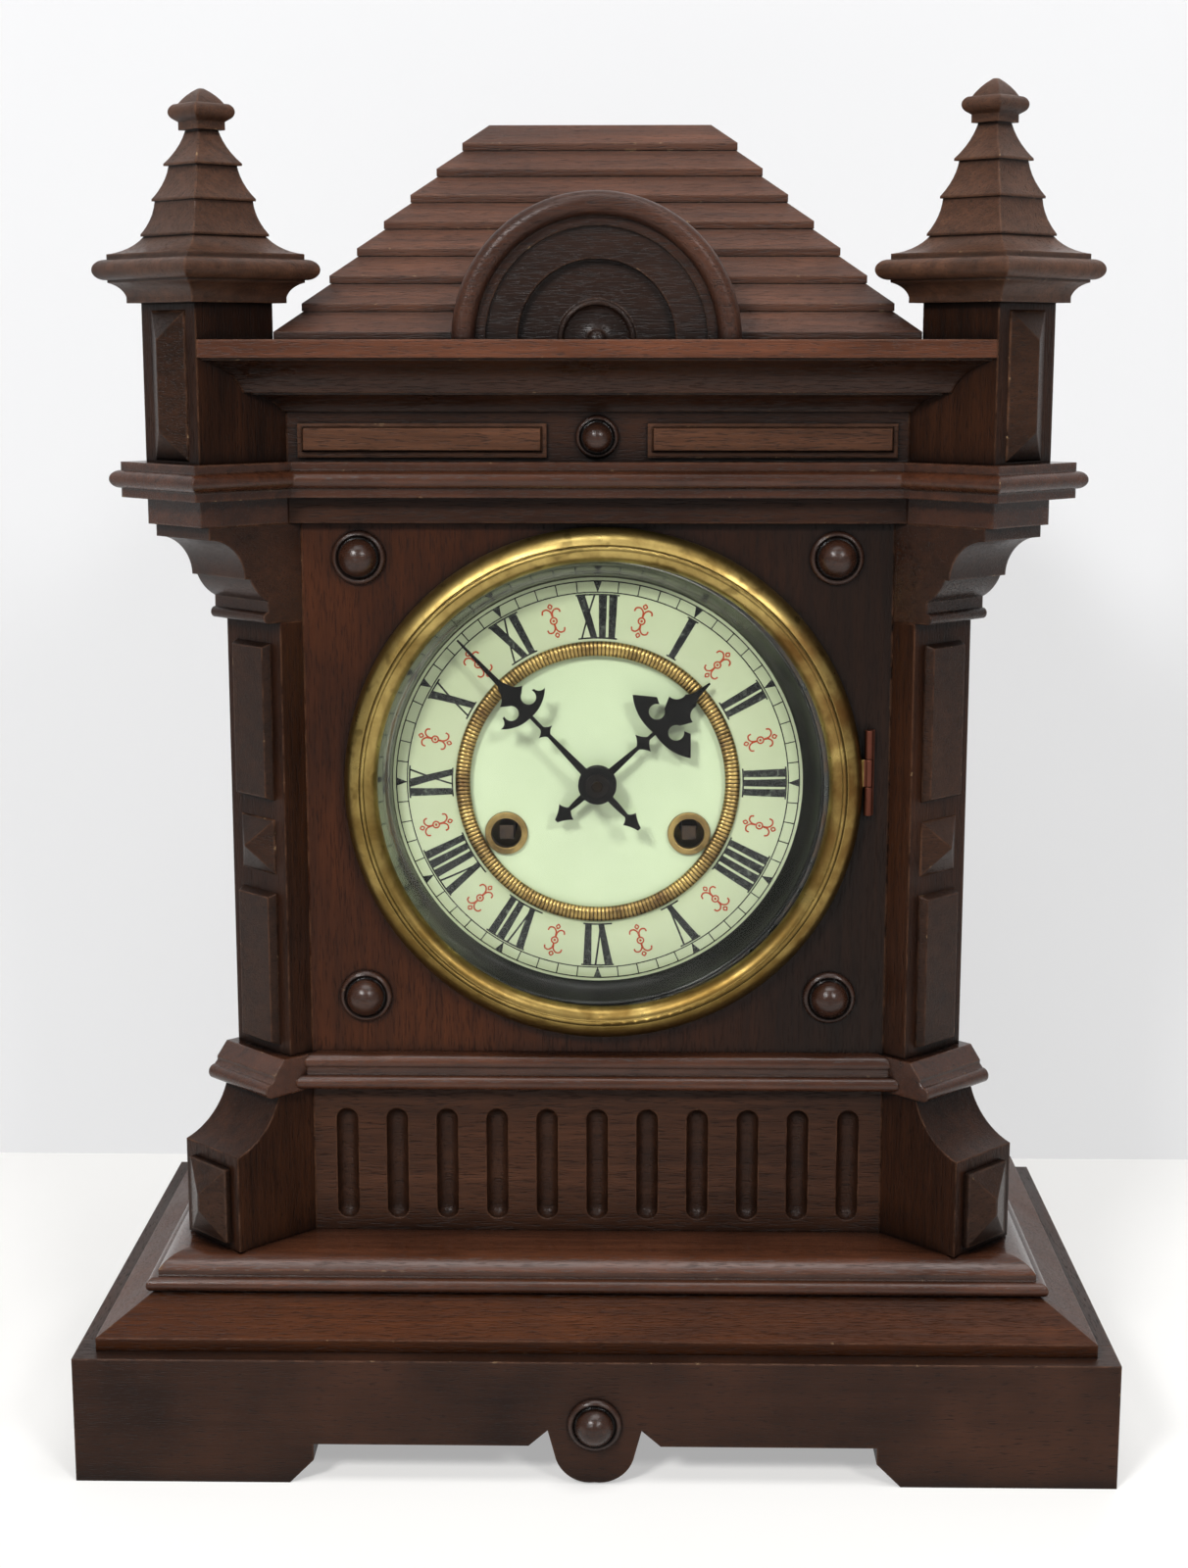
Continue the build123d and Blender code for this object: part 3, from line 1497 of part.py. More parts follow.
with BuildPart() as centre_wheel:
    rod(centre, centre_arbor, hand_tip, back_plate_y + plate_thickness)
    pinion = rim(centre_pinion_teeth, barrel_module, toward(centre, winding[1]), False, pinion_teeth_shape)
    toothed(centre, pinion, barrel_rim_back + barrel_mesh, pinion_face)
    toothed(centre, rim(centre_teeth, train_module, toward(centre, third), True), centre_wheel_y, wheel_sheet)
save(centre_wheel, "centre_wheel")

with BuildPart() as third_wheel:
    rod(third, train_arbor, front_plate_y, back_plate_y + plate_thickness)
    pinion = rim(third_pinion_teeth, train_module, toward(third, centre), False, pinion_teeth_shape)
    toothed(third, pinion, centre_wheel_y + pinion_overhang, wheel_sheet + 2 * pinion_overhang)
    toothed(third, rim(third_teeth, escape_module, toward(third, escape), True), third_wheel_y, wheel_sheet)
save(third_wheel, "third_wheel")

with BuildPart() as escape_wheel:
    rod(escape, train_arbor, front_plate_y, back_plate_y + plate_thickness)
    pinion = rim(escape_pinion_teeth, escape_module, toward(escape, third), False, pinion_teeth_shape)
    toothed(escape, pinion, third_wheel_y + pinion_overhang, wheel_sheet + 2 * pinion_overhang)
    saw = []
    for index in range(escape_teeth):
        angle = 2 * pi * index / escape_teeth
        for radius, lead in ((escape_tip, 0), (escape_tip - escape_tooth, escape_undercut)):
            saw.append((radius * cos(angle + lead), radius * sin(angle + lead)))
    toothed(escape, saw, escape_wheel_y, wheel_sheet)
save(escape_wheel, "escape_wheel")

# Pallet anchor with its crutch behind the back plate, in line with the pendulum's suspension
crutch_y = back_plate_y + plate_thickness + crutch_gap
with BuildPart() as pallet_anchor:
    rod(pallet, train_arbor, front_plate_y, crutch_y + crutch_sheet)
    with BuildSketch(front(escape_wheel_y + pallet_overlap)):
        with Locations(pallet):
            Circle(pallet_hub)
            for side in (-1, 1):
                Polygon(*[(side * x, z) for x, z in pallet_arm], align=None)
    extrude(amount=wheel_sheet + 2 * pallet_overlap)
    with BuildSketch(front(crutch_y + crutch_sheet)):
        with Locations(pallet):
            Circle(pallet_hub)
        with Locations((pallet[0], pallet[1] - crutch_drop / 2)):
            Rectangle(crutch_width, crutch_drop)
    extrude(amount=crutch_sheet)
    with BuildSketch(Plane.XY.offset(pallet[1] - crutch_drop)):
        with Locations((0, (crutch_y + rod_y + crutch_fork_wall) / 2)):
            Rectangle(crutch_fork_width, rod_y + crutch_fork_wall - crutch_y)
        with Locations((0, rod_y)):
            Circle(rod_radius + run_clearance, mode=Mode.SUBTRACT)
    extrude(amount=crutch_fork_sheet)
save(pallet_anchor, "pallet_anchor")

bob_z = base_level + bob_rise
nut_level = bob_z - bob_radius - rating_nut_height
with BuildPart() as pendulum_rod:
    with BuildSketch(Plane.XY.offset(nut_level - rod_tail)):
        with Locations((0, rod_y)):
            Circle(rod_radius)
    extrude(amount=pallet[1] - nut_level + rod_tail)
save(pendulum_rod, "pendulum_rod")

with BuildPart() as pendulum_bob:
    with BuildSketch(Plane.XY.offset(bob_z)):
        with BuildLine():
            Polyline((0, rod_y - bob_thickness / 2), (0, rod_y + bob_thickness / 2))
            TangentArc((0, rod_y + bob_thickness / 2), (bob_radius, rod_y + bob_edge / 2), tangent=(1, 0))
            Line((bob_radius, rod_y + bob_edge / 2), (bob_radius, rod_y - bob_edge / 2))
            TangentArc((0, rod_y - bob_thickness / 2), (bob_radius, rod_y - bob_edge / 2), tangent=(1, 0))
        make_face()
    revolve(axis=Axis((0, rod_y, bob_z), (0, 1, 0)))
    with BuildSketch(Plane.XY.offset(bob_z - bob_radius)):
        with Locations((0, rod_y)):
            Circle(rod_radius + run_clearance)
    extrude(amount=2 * bob_radius, mode=Mode.SUBTRACT)
save(pendulum_bob, "pendulum_bob")

with BuildPart() as rating_nut:
    with BuildSketch(Plane.XY.offset(nut_level)):
        with Locations((0, rod_y)):
            RegularPolygon(rating_nut_radius, 8)
            Circle(rod_radius + run_clearance, mode=Mode.SUBTRACT)
    extrude(amount=rating_nut_height)
save(rating_nut, "rating_nut")

# Motion work between the dial and the front plate
cannon_back = front_plate_y - cannon_gap
minute_wheel_back = front_plate_y - minute_wheel_gap
minute_pinion_back = front_plate_y - minute_pinion_gap
hour_wheel_back = front_plate_y - hour_wheel_gap
with BuildPart() as cannon_pinion:
    outline = rim(cannon_teeth, cannon_module, toward(centre, minute_stud), True, pinion_teeth_shape)
    toothed(centre, outline, cannon_back, cannon_face)
    rod(centre, cannon_pipe, minute_hand_back, cannon_back)
    drill([centre], centre_arbor + run_clearance, minute_hand_back, cannon_back)
save(cannon_pinion, "cannon_pinion")

with BuildPart() as minute_wheel:
    wheel = rim(minute_teeth, cannon_module, toward(minute_stud, centre), False)
    toothed(minute_stud, wheel, minute_wheel_back, minute_wheel_face)
    pinion = rim(minute_pinion_teeth, hour_module, toward(minute_stud, centre), True, pinion_teeth_shape)
    toothed(minute_stud, pinion, minute_pinion_back, minute_pinion_face)
    pinion_front = minute_pinion_back - minute_pinion_face
    drill([minute_stud], stud_radius + run_clearance, pinion_front, minute_wheel_back)
save(minute_wheel, "minute_wheel")

with BuildPart() as hour_wheel:
    wheel = rim(hour_teeth, hour_module, toward(centre, minute_stud), False)
    toothed(centre, wheel, hour_wheel_back, hour_wheel_face)
    rod(centre, hour_pipe_outer, hour_hand_back, hour_wheel_back)
    rod(centre, hour_pipe_outer - hour_pipe_wall / 2, hour_hand_back - hand_sheet, hour_hand_back)
    drill([centre], hour_pipe_inner, hour_hand_back - hand_sheet, hour_wheel_back)
save(hour_wheel, "hour_wheel")

with BuildPart() as hand_nut:
    nut_back = minute_hand_back - hand_sheet
    with BuildSketch(front(nut_back)):
        with Locations(centre):
            Circle(hand_nut_radius)
            Circle(centre_arbor + run_clearance, mode=Mode.SUBTRACT)
    extrude(amount=hand_nut_height)
save(hand_nut, "hand_nut")

# Strike work: pin wheel, hammer, coil gong and its iron stand
pin_wheel_y = back_plate_y - pin_wheel_gap
with BuildPart() as strike_pin_wheel:
    rod(pin_place, train_arbor, front_plate_y, back_plate_y + plate_thickness)
    partner = toward(pin_place, winding[-1])
    pinion = rim(strike_pinion_teeth, strike_module, partner, False, pinion_teeth_shape)
    toothed(pin_place, pinion, barrel_rim_back + barrel_mesh, pinion_face)
    rod(pin_place, pin_wheel_radius, pin_wheel_y - wheel_sheet, pin_wheel_y)
    with BuildSketch(front(pin_wheel_y)):
        with Locations(pin_place):
            with PolarLocations(pin_wheel_radius - pin_inset, pin_count):
                Circle(pin_radius)
    extrude(amount=-pin_length)
save(strike_pin_wheel, "strike_pin_wheel")

gong_z = base_level + gong_rise
gong_y = rod_y - bob_thickness / 2 - gong_clearance
gong_left = gong_inner + gong_pitch * (gong_turns - 0.75)
hammer_y = gong_y - gong_width / 2
head_x = -gong_left - gong_strip - hammer_head_gap - hammer_head_half

with BuildPart() as gong_coil:
    with BuildSketch(front(gong_y)):
        for half_turn in range(2 * gong_turns):
            up = half_turn % 2 == 0
            radius = gong_inner + half_turn * gong_pitch / 2
            middle = -gong_pitch / 4 if up else gong_pitch / 4
            with BuildLine():
                start = 0 if up else 180
                CenterArc((middle, gong_z), radius, start, 180)
                CenterArc((middle, gong_z), radius + gong_strip, start, 180)
                for end in (-1, 1):
                    Line((middle + end * radius, gong_z), (middle + end * (radius + gong_strip), gong_z))
            make_face()
    extrude(amount=gong_width)
save(gong_coil, "gong_coil")

with BuildPart() as gong_stand:
    stand_back = gong_y - gong_width - gong_post_gap
    post_top = gong_z + gong_post_rise
    with BuildSketch(Plane.XY.offset(base_level)):
        with Locations((0, stand_back - gong_post_depth / 2)):
            Rectangle(gong_foot_length, gong_foot_width)
    extrude(amount=gong_foot_height, taper=gong_foot_angle)
    with BuildSketch(front(stand_back)):
        Polygon(
            (-gong_post_foot, base_level),
            (gong_post_foot, base_level),
            (gong_post_head, post_top),
            (-gong_post_head, post_top),
            align=None,
        )
    extrude(amount=gong_post_depth)
    with BuildSketch(front(gong_y)):
        with Locations((0, gong_z)):
            Circle(gong_inner - gong_pitch / 4 - fit_clearance)
        with Locations((gong_inner - gong_pitch / 4, gong_z - gong_strip)):
            Rectangle(2 * gong_strip, 2 * gong_strip)
    extrude(amount=gong_width + gong_post_gap)
save(gong_stand, "gong_stand")

with BuildPart() as strike_hammer:
    arm_back = hammer_y + hammer_sheet / 2
    rod(hammer_place, stud_radius, back_plate_y, arm_back)
    with BuildSketch(front(arm_back)):
        with Locations(hammer_place):
            Circle(hammer_hub)
        Polygon(
            (hammer_place[0] - hammer_arm, hammer_place[1]),
            (hammer_place[0] + hammer_arm, hammer_place[1]),
            (head_x + hammer_arm, gong_z),
            (head_x - hammer_arm, gong_z),
            align=None,
        )
    extrude(amount=hammer_sheet)
    with BuildSketch(Plane.YZ.offset(head_x - hammer_head_half)):
        with Locations((hammer_y, gong_z)):
            Circle(hammer_head)
    extrude(amount=2 * hammer_head_half)
save(strike_hammer, "strike_hammer")
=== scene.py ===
"""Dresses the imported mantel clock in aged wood, brass, enamel and glass.

It adds the dial's printing, the coved ring round the dial and the ribs of the milled ring.
"""

import math

import bpy
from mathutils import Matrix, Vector


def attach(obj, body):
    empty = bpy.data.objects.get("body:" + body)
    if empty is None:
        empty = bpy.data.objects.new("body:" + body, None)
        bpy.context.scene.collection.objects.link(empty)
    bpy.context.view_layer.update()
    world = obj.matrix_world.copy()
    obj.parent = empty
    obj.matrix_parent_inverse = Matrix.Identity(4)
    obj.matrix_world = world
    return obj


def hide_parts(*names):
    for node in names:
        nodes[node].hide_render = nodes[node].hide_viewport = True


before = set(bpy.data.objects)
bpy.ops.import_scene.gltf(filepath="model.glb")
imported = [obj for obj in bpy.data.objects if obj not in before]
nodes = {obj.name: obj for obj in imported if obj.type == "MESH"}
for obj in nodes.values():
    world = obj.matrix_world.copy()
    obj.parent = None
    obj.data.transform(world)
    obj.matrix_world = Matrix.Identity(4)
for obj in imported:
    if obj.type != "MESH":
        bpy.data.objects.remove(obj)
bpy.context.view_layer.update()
MM = 0.001

# Dial layout, repeated from the model in millimetres
DIAL_Z = 196.6
DIAL_FACE_Y = -31.4
CHAPTER_INNER = 38.4
CHAPTER_OUTER = 60.4
CHAPTER_INNER_Y = DIAL_FACE_Y + 0.6
CHAPTER_OUTER_Y = DIAL_FACE_Y + 1.2
CHAPTER_DOME = 0.9
PRINT_LIFT = 0.05

# Agreement of the rounded and the true normal, on a flat face and on an arris
FLAT_AGREEMENT = 0.995
ARRIS_AGREEMENT = 0.86


def rgba(colour, share=1.0):
    """A colour for a node's socket, made darker or lighter by a share."""
    return (*[share * c for c in colour], 1.0)


# Node graphs
class Graph:
    """A material's node tree, with short calls for the nodes used here."""

    def __init__(self, name):
        self.material = bpy.data.materials.new(name)
        self.material.use_nodes = True
        self.tree = self.material.node_tree
        self.tree.nodes.clear()
        self.output = self.tree.nodes.new("ShaderNodeOutputMaterial")

    def put(self, socket, value):
        if isinstance(value, bpy.types.NodeSocket):
            self.tree.links.new(value, socket)
        else:
            socket.default_value = value

    def node(self, kind, inputs=None, **settings):
        made = self.tree.nodes.new(kind)
        for name, value in settings.items():
            setattr(made, name, value)
        for name, value in (inputs or {}).items():
            self.put(made.inputs[name], value)
        return made

    def place(self):
        return self.node("ShaderNodeTexCoord").outputs["Object"]

    def axes(self):
        """The place's X, Y and Z, in metres."""
        return self.node("ShaderNodeSeparateXYZ", {"Vector": self.place()}).outputs

    def stretched(self, scale):
        return self.node("ShaderNodeMapping", {"Vector": self.place(), "Scale": scale}).outputs["Vector"]

    def noise(self, vector, scale, detail=3.0, roughness=0.55, distortion=0.0):
        inputs = {
            "Vector": vector,
            "Scale": scale,
            "Detail": detail,
            "Roughness": roughness,
            "Distortion": distortion,
        }
        return self.node("ShaderNodeTexNoise", inputs).outputs["Fac"]

    def span(self, value, shade_level, high, to_low=0.0, to_high=1.0):
        inputs = {"Value": value, "From Min": shade_level, "From Max": high, "To Min": to_low, "To Max": to_high}
        return self.node("ShaderNodeMapRange", inputs, clamp=True).outputs["Result"]

    def math(self, operation, a, b=0.0):
        made = self.node("ShaderNodeMath", operation=operation)
        self.put(made.inputs[0], a)
        self.put(made.inputs[1], b)
        return made.outputs[0]

    def rest(self, value):
        """What is left of 1."""
        return self.math("SUBTRACT", 1.0, value)

    def mix(self, share, a, b, blend="MIX"):
        made = self.node("ShaderNodeMix", data_type="RGBA", blend_type=blend)
        self.put(made.inputs[0], share)
        self.put(made.inputs[6], a)
        self.put(made.inputs[7], b)
        return made.outputs[2]

    def ramp(self, value, stops):
        made = self.node("ShaderNodeValToRGB", {"Fac": value})
        ramp = made.color_ramp
        while len(ramp.elements) < len(stops):
            ramp.elements.new(0.5)
        for element, (position, colour) in zip(ramp.elements, stops):
            element.position = position
            element.color = rgba(colour)
        return made.outputs["Color"]

    def edges(self, radius):
        """Rounded normal at arrises, and a mask that is 1 on them."""
        rounded = self.node("ShaderNodeBevel", {"Radius": radius}, samples=4).outputs["Normal"]
        flat = self.node("ShaderNodeNewGeometry").outputs["Normal"]
        agree = self.node("ShaderNodeVectorMath", operation="DOT_PRODUCT")
        self.put(agree.inputs[0], rounded)
        self.put(agree.inputs[1], flat)
        return rounded, self.span(agree.outputs["Value"], FLAT_AGREEMENT, ARRIS_AGREEMENT)

    def shelter(self, distance):
        """How open a place is: 1 on a free face, less in corners."""
        made = self.node("ShaderNodeAmbientOcclusion", {"Distance": distance}, samples=4)
        return made.outputs["AO"]

    def bump(self, height, distance, strength=1.0, normal=None):
        inputs = {"Height": height, "Distance": distance, "Strength": strength}
        if normal is not None:
            inputs["Normal"] = normal
        return self.node("ShaderNodeBump", inputs).outputs["Normal"]

    def surface(self, **inputs):
        names = {
            "colour": "Base Color",
            "roughness": "Roughness",
            "metallic": "Metallic",
            "normal": "Normal",
            "coat": "Coat Weight",
            "coat_roughness": "Coat Roughness",
            "specular": "Specular IOR Level",
            "transmission": "Transmission Weight",
            "ior": "IOR",
        }
        shader = self.node("ShaderNodeBsdfPrincipled", {names[k]: v for k, v in inputs.items()})
        self.tree.links.new(shader.outputs[0], self.output.inputs["Surface"])
        return shader


# Wood: tones, and lengths in metres
DARK = (0.011, 0.0038, 0.0017)
MIDDLE = (0.034, 0.0118, 0.005)
WORN = (0.17, 0.078, 0.042)
PATCH_TINT = (0.45, 0.42, 0.42)
CHIP_TONE = (0.4, 0.26, 0.14)
# Painted shade: near-black tones laid into corners and crevices, how strongly, and how far they reach
CORNER_SHADE_TONE = (0.0035, 0.002, 0.0016)
CREVICE_SHADE_TONE = (0.002, 0.0012, 0.001)
CORNER_SHADE_STRENGTH = 0.85
CREVICE_SHADE_STRENGTH = 0.9
CORNER_REACH = 0.014
CREVICE_REACH = 0.0035
WOOD_ARRIS = 0.0009
HALO_SOFT = 0.0015

# Wood shinier than this has its grain filled, and so less bump
FILLED_SHINE = 0.28
FILLED_BUMP = 0.12
OPEN_BUMP = 0.5

# Noise scales of the streaks, lines and pores for each way of the grain
GRAIN_SCALES = {
    "x": ((14, 300, 300), (70, 1500, 1500), (260, 2600, 2600)),
    "y": ((300, 14, 300), (1500, 70, 1500), (2600, 260, 2600)),
    "z": ((300, 300, 14), (1500, 1500, 70), (2600, 2600, 260)),
}


def wood(name, grain, dark, middle, shine, gloss=0.16, worn=WORN, wear=0.65, lean=None, figure=1.0, halo=None):
    """Stained and shellacked wood: streaks and pores along the grain, painted shade in corners and crevices, rubbed
    and chipped arrises.

    lean is (start, end, tint, mirrored): a tint that comes in along X, alike on both sides when mirrored.
    halo is (level, radius, tint): a tint outside a circle round the middle at that level.
    """
    g = Graph(name)
    streak_scale, line_scale, pore_scale = GRAIN_SCALES[grain]
    streaks = g.noise(g.stretched(streak_scale), 1.0, 5.0, 0.6, 0.6)
    lines = g.noise(g.stretched(line_scale), 1.0, 3.0, 0.6, 0.2)
    cloud = g.noise(g.place(), 22.0, 3.0, 0.5)
    patch = g.noise(g.place(), 9.0, 4.0, 0.6, 0.4)
    pore = g.span(g.noise(g.stretched(pore_scale), 1.0, 2.0, 0.5), 0.32, 0.46)
    tone = g.math("ADD", g.math("MULTIPLY", streaks, 0.5 * figure), g.math("MULTIPLY", lines, 0.3 * figure))
    tone = g.math("ADD", tone, g.math("MULTIPLY", cloud, 1.1 - 0.8 * figure))
    colour = g.ramp(tone, [(0.36, dark), (0.55, middle), (0.74, tuple(1.7 * c for c in middle))])
    colour = g.mix(g.span(patch, 0.4, 0.62, 0.0, 0.6), colour, rgba(PATCH_TINT), "MULTIPLY")
    if lean is not None:
        start, end, tint, mirrored = lean
        across = g.axes()["X"]
        if mirrored:
            across = g.math("ABSOLUTE", across)
        colour = g.mix(g.span(across, start, end), colour, rgba(tint), "MULTIPLY")
    if halo is not None:
        level, radius, tint = halo
        axes = g.axes()
        rise = g.math("SUBTRACT", axes["Z"], level)
        squares = g.math("ADD", g.math("MULTIPLY", axes["X"], axes["X"]), g.math("MULTIPLY", rise, rise))
        away = g.math("SQRT", squares)
        colour = g.mix(g.span(away, radius - HALO_SOFT, radius), colour, rgba(tint), "MULTIPLY")
    colour = g.mix(g.math("MULTIPLY", g.rest(pore), 0.6), colour, rgba(dark, 0.3))
    rounded, rim = g.edges(WOOD_ARRIS)
    broken = g.span(g.noise(g.place(), 160.0, 4.0, 0.7), 0.38, 0.58)
    colour = g.mix(g.math("MULTIPLY", g.math("MULTIPLY", rim, broken), wear), colour, rgba(worn))
    chips = g.math("MULTIPLY", rim, g.span(g.noise(g.place(), 330.0, 2.0, 0.5), 0.68, 0.71))
    colour = g.mix(g.math("MULTIPLY", chips, 0.8), colour, rgba(CHIP_TONE))
    # Painted shade: the colour darkens towards near-black where corners and crevices close in
    open_share = g.span(g.shelter(CORNER_REACH), 0.3, 0.92)
    colour = g.mix(g.math("MULTIPLY", g.rest(open_share), CORNER_SHADE_STRENGTH), colour, rgba(CORNER_SHADE_TONE))
    tight = g.span(g.shelter(CREVICE_REACH), 0.35, 0.85)
    colour = g.mix(g.math("MULTIPLY", g.rest(tight), CREVICE_SHADE_STRENGTH), colour, rgba(CREVICE_SHADE_TONE))
    dull = g.math("MULTIPLY", g.rest(pore), 0.2)
    rough = g.math("ADD", g.span(cloud, 0.3, 0.7, shine - 0.07, shine + 0.08), dull)
    height = g.math("ADD", g.math("MULTIPLY", pore, 0.6), g.math("MULTIPLY", lines, 0.5))
    normal = g.bump(height, 0.0003, OPEN_BUMP if shine > FILLED_SHINE else FILLED_BUMP, rounded)
    g.surface(colour=colour, roughness=rough, normal=normal, specular=gloss)
    return g.material


# Brass: tones, and lengths in metres
GOLD = (0.46, 0.34, 0.115)
BROWN = (0.13, 0.077, 0.019)
HINGE = (0.13, 0.045, 0.03)
MOVEMENT_GOLD = (0.66, 0.5, 0.2)
MOVEMENT_BROWN = (0.4, 0.27, 0.1)
GROOVE_TONE = (0.025, 0.014, 0.006)
FILM_AND_SHADE_TONE = (0.02, 0.011, 0.004)
BRASS_ARRIS = 0.0006
RED_START = 0.035
RED_END = 0.078
SHADE_ABOVE = 0.06
SHADE_BELOW = 0.04


def brass(
    name, clean, tarnish, rough=0.3, spots=0.5, film_and_shade=0.7, redness=None, depth=0.006, end=None, shade_level=None, ribs=None
):
    """Aged brass: cloudy tarnish, dark spots, brown film and painted shade in the corners and brighter rubbed edges.

    redness is a tone that comes in to the right, low the level about which painted shade, in the tarnish tone, takes
    over downwards.
    ribs is (count, level): dark grooves round the dial's axis. end is (axis, near, far, tone): another tone past far.
    """
    g = Graph(name)
    cloud = g.noise(g.place(), 70.0, 5.0, 0.62, 0.3)
    fine = g.noise(g.place(), 420.0, 3.0, 0.6)
    spot = g.span(g.noise(g.place(), 190.0, 2.0, 0.45), 0.6, 0.68)
    colour = g.mix(g.span(cloud, 0.38, 0.72), rgba(clean), rgba(tarnish))
    colour = g.mix(g.math("MULTIPLY", spot, spots), colour, rgba(tarnish, 0.35))
    if redness is not None:
        side = g.math("MULTIPLY", g.span(g.axes()["X"], RED_START, RED_END), g.span(cloud, 0.3, 0.62))
        colour = g.mix(g.math("MULTIPLY", side, 0.85), colour, rgba(redness))
    # Painted shade: the tarnish tone takes over below a level, darkening the lower part
    if shade_level is not None:
        below = g.span(g.axes()["Z"], shade_level + SHADE_ABOVE, shade_level - SHADE_BELOW)
        share = g.math("MULTIPLY", below, g.span(cloud, 0.25, 0.6, 0.35, 0.8))
        colour = g.mix(share, colour, rgba(tarnish))
    rounded, rim = g.edges(BRASS_ARRIS)
    colour = g.mix(g.math("MULTIPLY", rim, 0.45), colour, rgba(clean, 1.25))
    if ribs is not None:
        count, level = ribs
        axes = g.axes()
        turn = g.math("ARCTAN2", axes["X"], g.math("SUBTRACT", axes["Z"], level))
        groove = g.span(g.math("COSINE", g.math("MULTIPLY", turn, count)), 0.1, 0.95)
        colour = g.mix(g.math("MULTIPLY", groove, 0.85), colour, rgba(GROOVE_TONE))
    if end is not None:
        axis, near, far, tone = end
        colour = g.mix(g.span(g.axes()[axis], near, far), colour, rgba(tone))
    # Brown film and painted shade: the brass darkens where corners close in
    open_share = g.span(g.shelter(depth), 0.2, 0.8)
    colour = g.mix(g.math("MULTIPLY", g.rest(open_share), film_and_shade), colour, rgba(FILM_AND_SHADE_TONE))
    uneven = g.span(cloud, 0.3, 0.75, rough - 0.05, rough + 0.16)
    roughness = g.math("ADD", uneven, g.math("MULTIPLY", fine, 0.08))
    normal = g.bump(g.math("ADD", cloud, fine), 0.00005, 0.5, rounded)
    g.surface(colour=colour, metallic=1.0, roughness=roughness, normal=normal)
    return g.material


DUST_TONE = (0.3, 0.27, 0.16)
# Painted shade in the enamel's corners: its tone and reach
ENAMEL_SHADE_TONE = (0.35, 0.37, 0.2)
ENAMEL_CORNER_REACH = 0.006


def enamel(name, pale, shade):
    """Glazed enamel: cream with a green cast, faint clouds, a slight ripple, fine dust in the glaze and painted shade
    in the corners.
    """
    g = Graph(name)
    cloud = g.noise(g.place(), 40.0, 4.0, 0.55)
    speck = g.span(g.noise(g.place(), 1500.0, 2.0, 0.5), 0.7, 0.8)
    colour = g.mix(g.span(cloud, 0.35, 0.7), rgba(pale), rgba(shade))
    colour = g.mix(g.math("MULTIPLY", speck, 0.12), colour, rgba(DUST_TONE))
    # Painted shade: the enamel darkens where corners close in
    open_share = g.span(g.shelter(ENAMEL_CORNER_REACH), 0.1, 0.8)
    colour = g.mix(g.math("MULTIPLY", g.rest(open_share), 0.35), colour, rgba(ENAMEL_SHADE_TONE))
    rough = g.span(cloud, 0.3, 0.7, 0.1, 0.17)
    g.surface(colour=colour, roughness=rough, normal=g.bump(cloud, 0.0002, 0.35), coat=0.5, coat_roughness=0.06)
    return g.material


FINE_ARRIS = 0.0003


def painted(name, deep, rubbed, rough, gloss=0.3):
    """Thin paint or lacquer with uneven gloss, rubbed through to a second tone on the edges."""
    g = Graph(name)
    cloud = g.noise(g.place(), 260.0, 4.0, 0.6)
    rounded, rim = g.edges(FINE_ARRIS)
    colour = g.mix(g.span(cloud, 0.45, 0.75), rgba(deep), rgba(deep, 1.8))
    colour = g.mix(g.math("MULTIPLY", rim, g.span(cloud, 0.4, 0.6, 0.1, 0.6)), colour, rgba(rubbed))
    roughness = g.span(cloud, 0.3, 0.7, rough - 0.08, rough + 0.12)
    g.surface(colour=colour, roughness=roughness, normal=g.bump(cloud, 0.00006, 0.5, rounded), specular=gloss)
    return g.material


def ink(name, deep, faded, fading):
    """Fired dial paint, fine-grained and faded in patches."""
    g = Graph(name)
    grain = g.noise(g.stretched((900, 900, 900)), 1.0, 3.0, 0.7)
    patch = g.noise(g.place(), 240.0, 3.0, 0.6)
    share = g.math("MULTIPLY", g.span(grain, 0.52, 0.68), g.span(patch, 0.4, 0.65))
    colour = g.mix(g.math("MULTIPLY", share, fading), rgba(deep), rgba(faded))
    g.surface(colour=colour, roughness=g.span(patch, 0.3, 0.7, 0.18, 0.34), normal=g.bump(grain, 0.00003, 0.4))
    return g.material


BLOOM_TONE = (0.16, 0.1, 0.06)


def steel(name, tone, rough=0.34):
    """Plain or blackened steel with fine turning marks and a little brown bloom."""
    g = Graph(name)
    cloud = g.noise(g.place(), 120.0, 4.0, 0.6)
    fine = g.noise(g.stretched((300, 2400, 300)), 1.0, 2.0, 0.5)
    rounded, rim = g.edges(FINE_ARRIS)
    colour = g.mix(g.span(cloud, 0.45, 0.75), rgba(tone), rgba(BLOOM_TONE))
    colour = g.mix(g.math("MULTIPLY", rim, 0.5), colour, rgba(tone, 1.6))
    uneven = g.span(cloud, 0.3, 0.7, rough - 0.06, rough + 0.1)
    roughness = g.math("ADD", uneven, g.math("MULTIPLY", fine, 0.1))
    g.surface(colour=colour, metallic=1.0, roughness=roughness, normal=g.bump(fine, 0.00003, 0.5, rounded))
    return g.material


def polished(name, bright, dull):
    """Polished metal round the dial, dull on the lower right."""
    g = Graph(name)
    axes = g.axes()
    slant = g.math("SUBTRACT", axes["Z"], axes["X"])
    cloud = g.noise(g.place(), 30.0, 3.0, 0.5)
    across = g.span(slant, DIAL_Z * MM - 0.03, DIAL_Z * MM + 0.06)
    share = g.math("ADD", across, g.span(cloud, 0.3, 0.7, -0.12, 0.12))
    colour = g.mix(share, rgba(dull), rgba(bright))
    roughness = g.span(share, 0.0, 1.0, 0.36, 0.14)
    g.surface(colour=colour, metallic=1.0, roughness=roughness, normal=g.bump(cloud, 0.0001, 0.3))
    return g.material


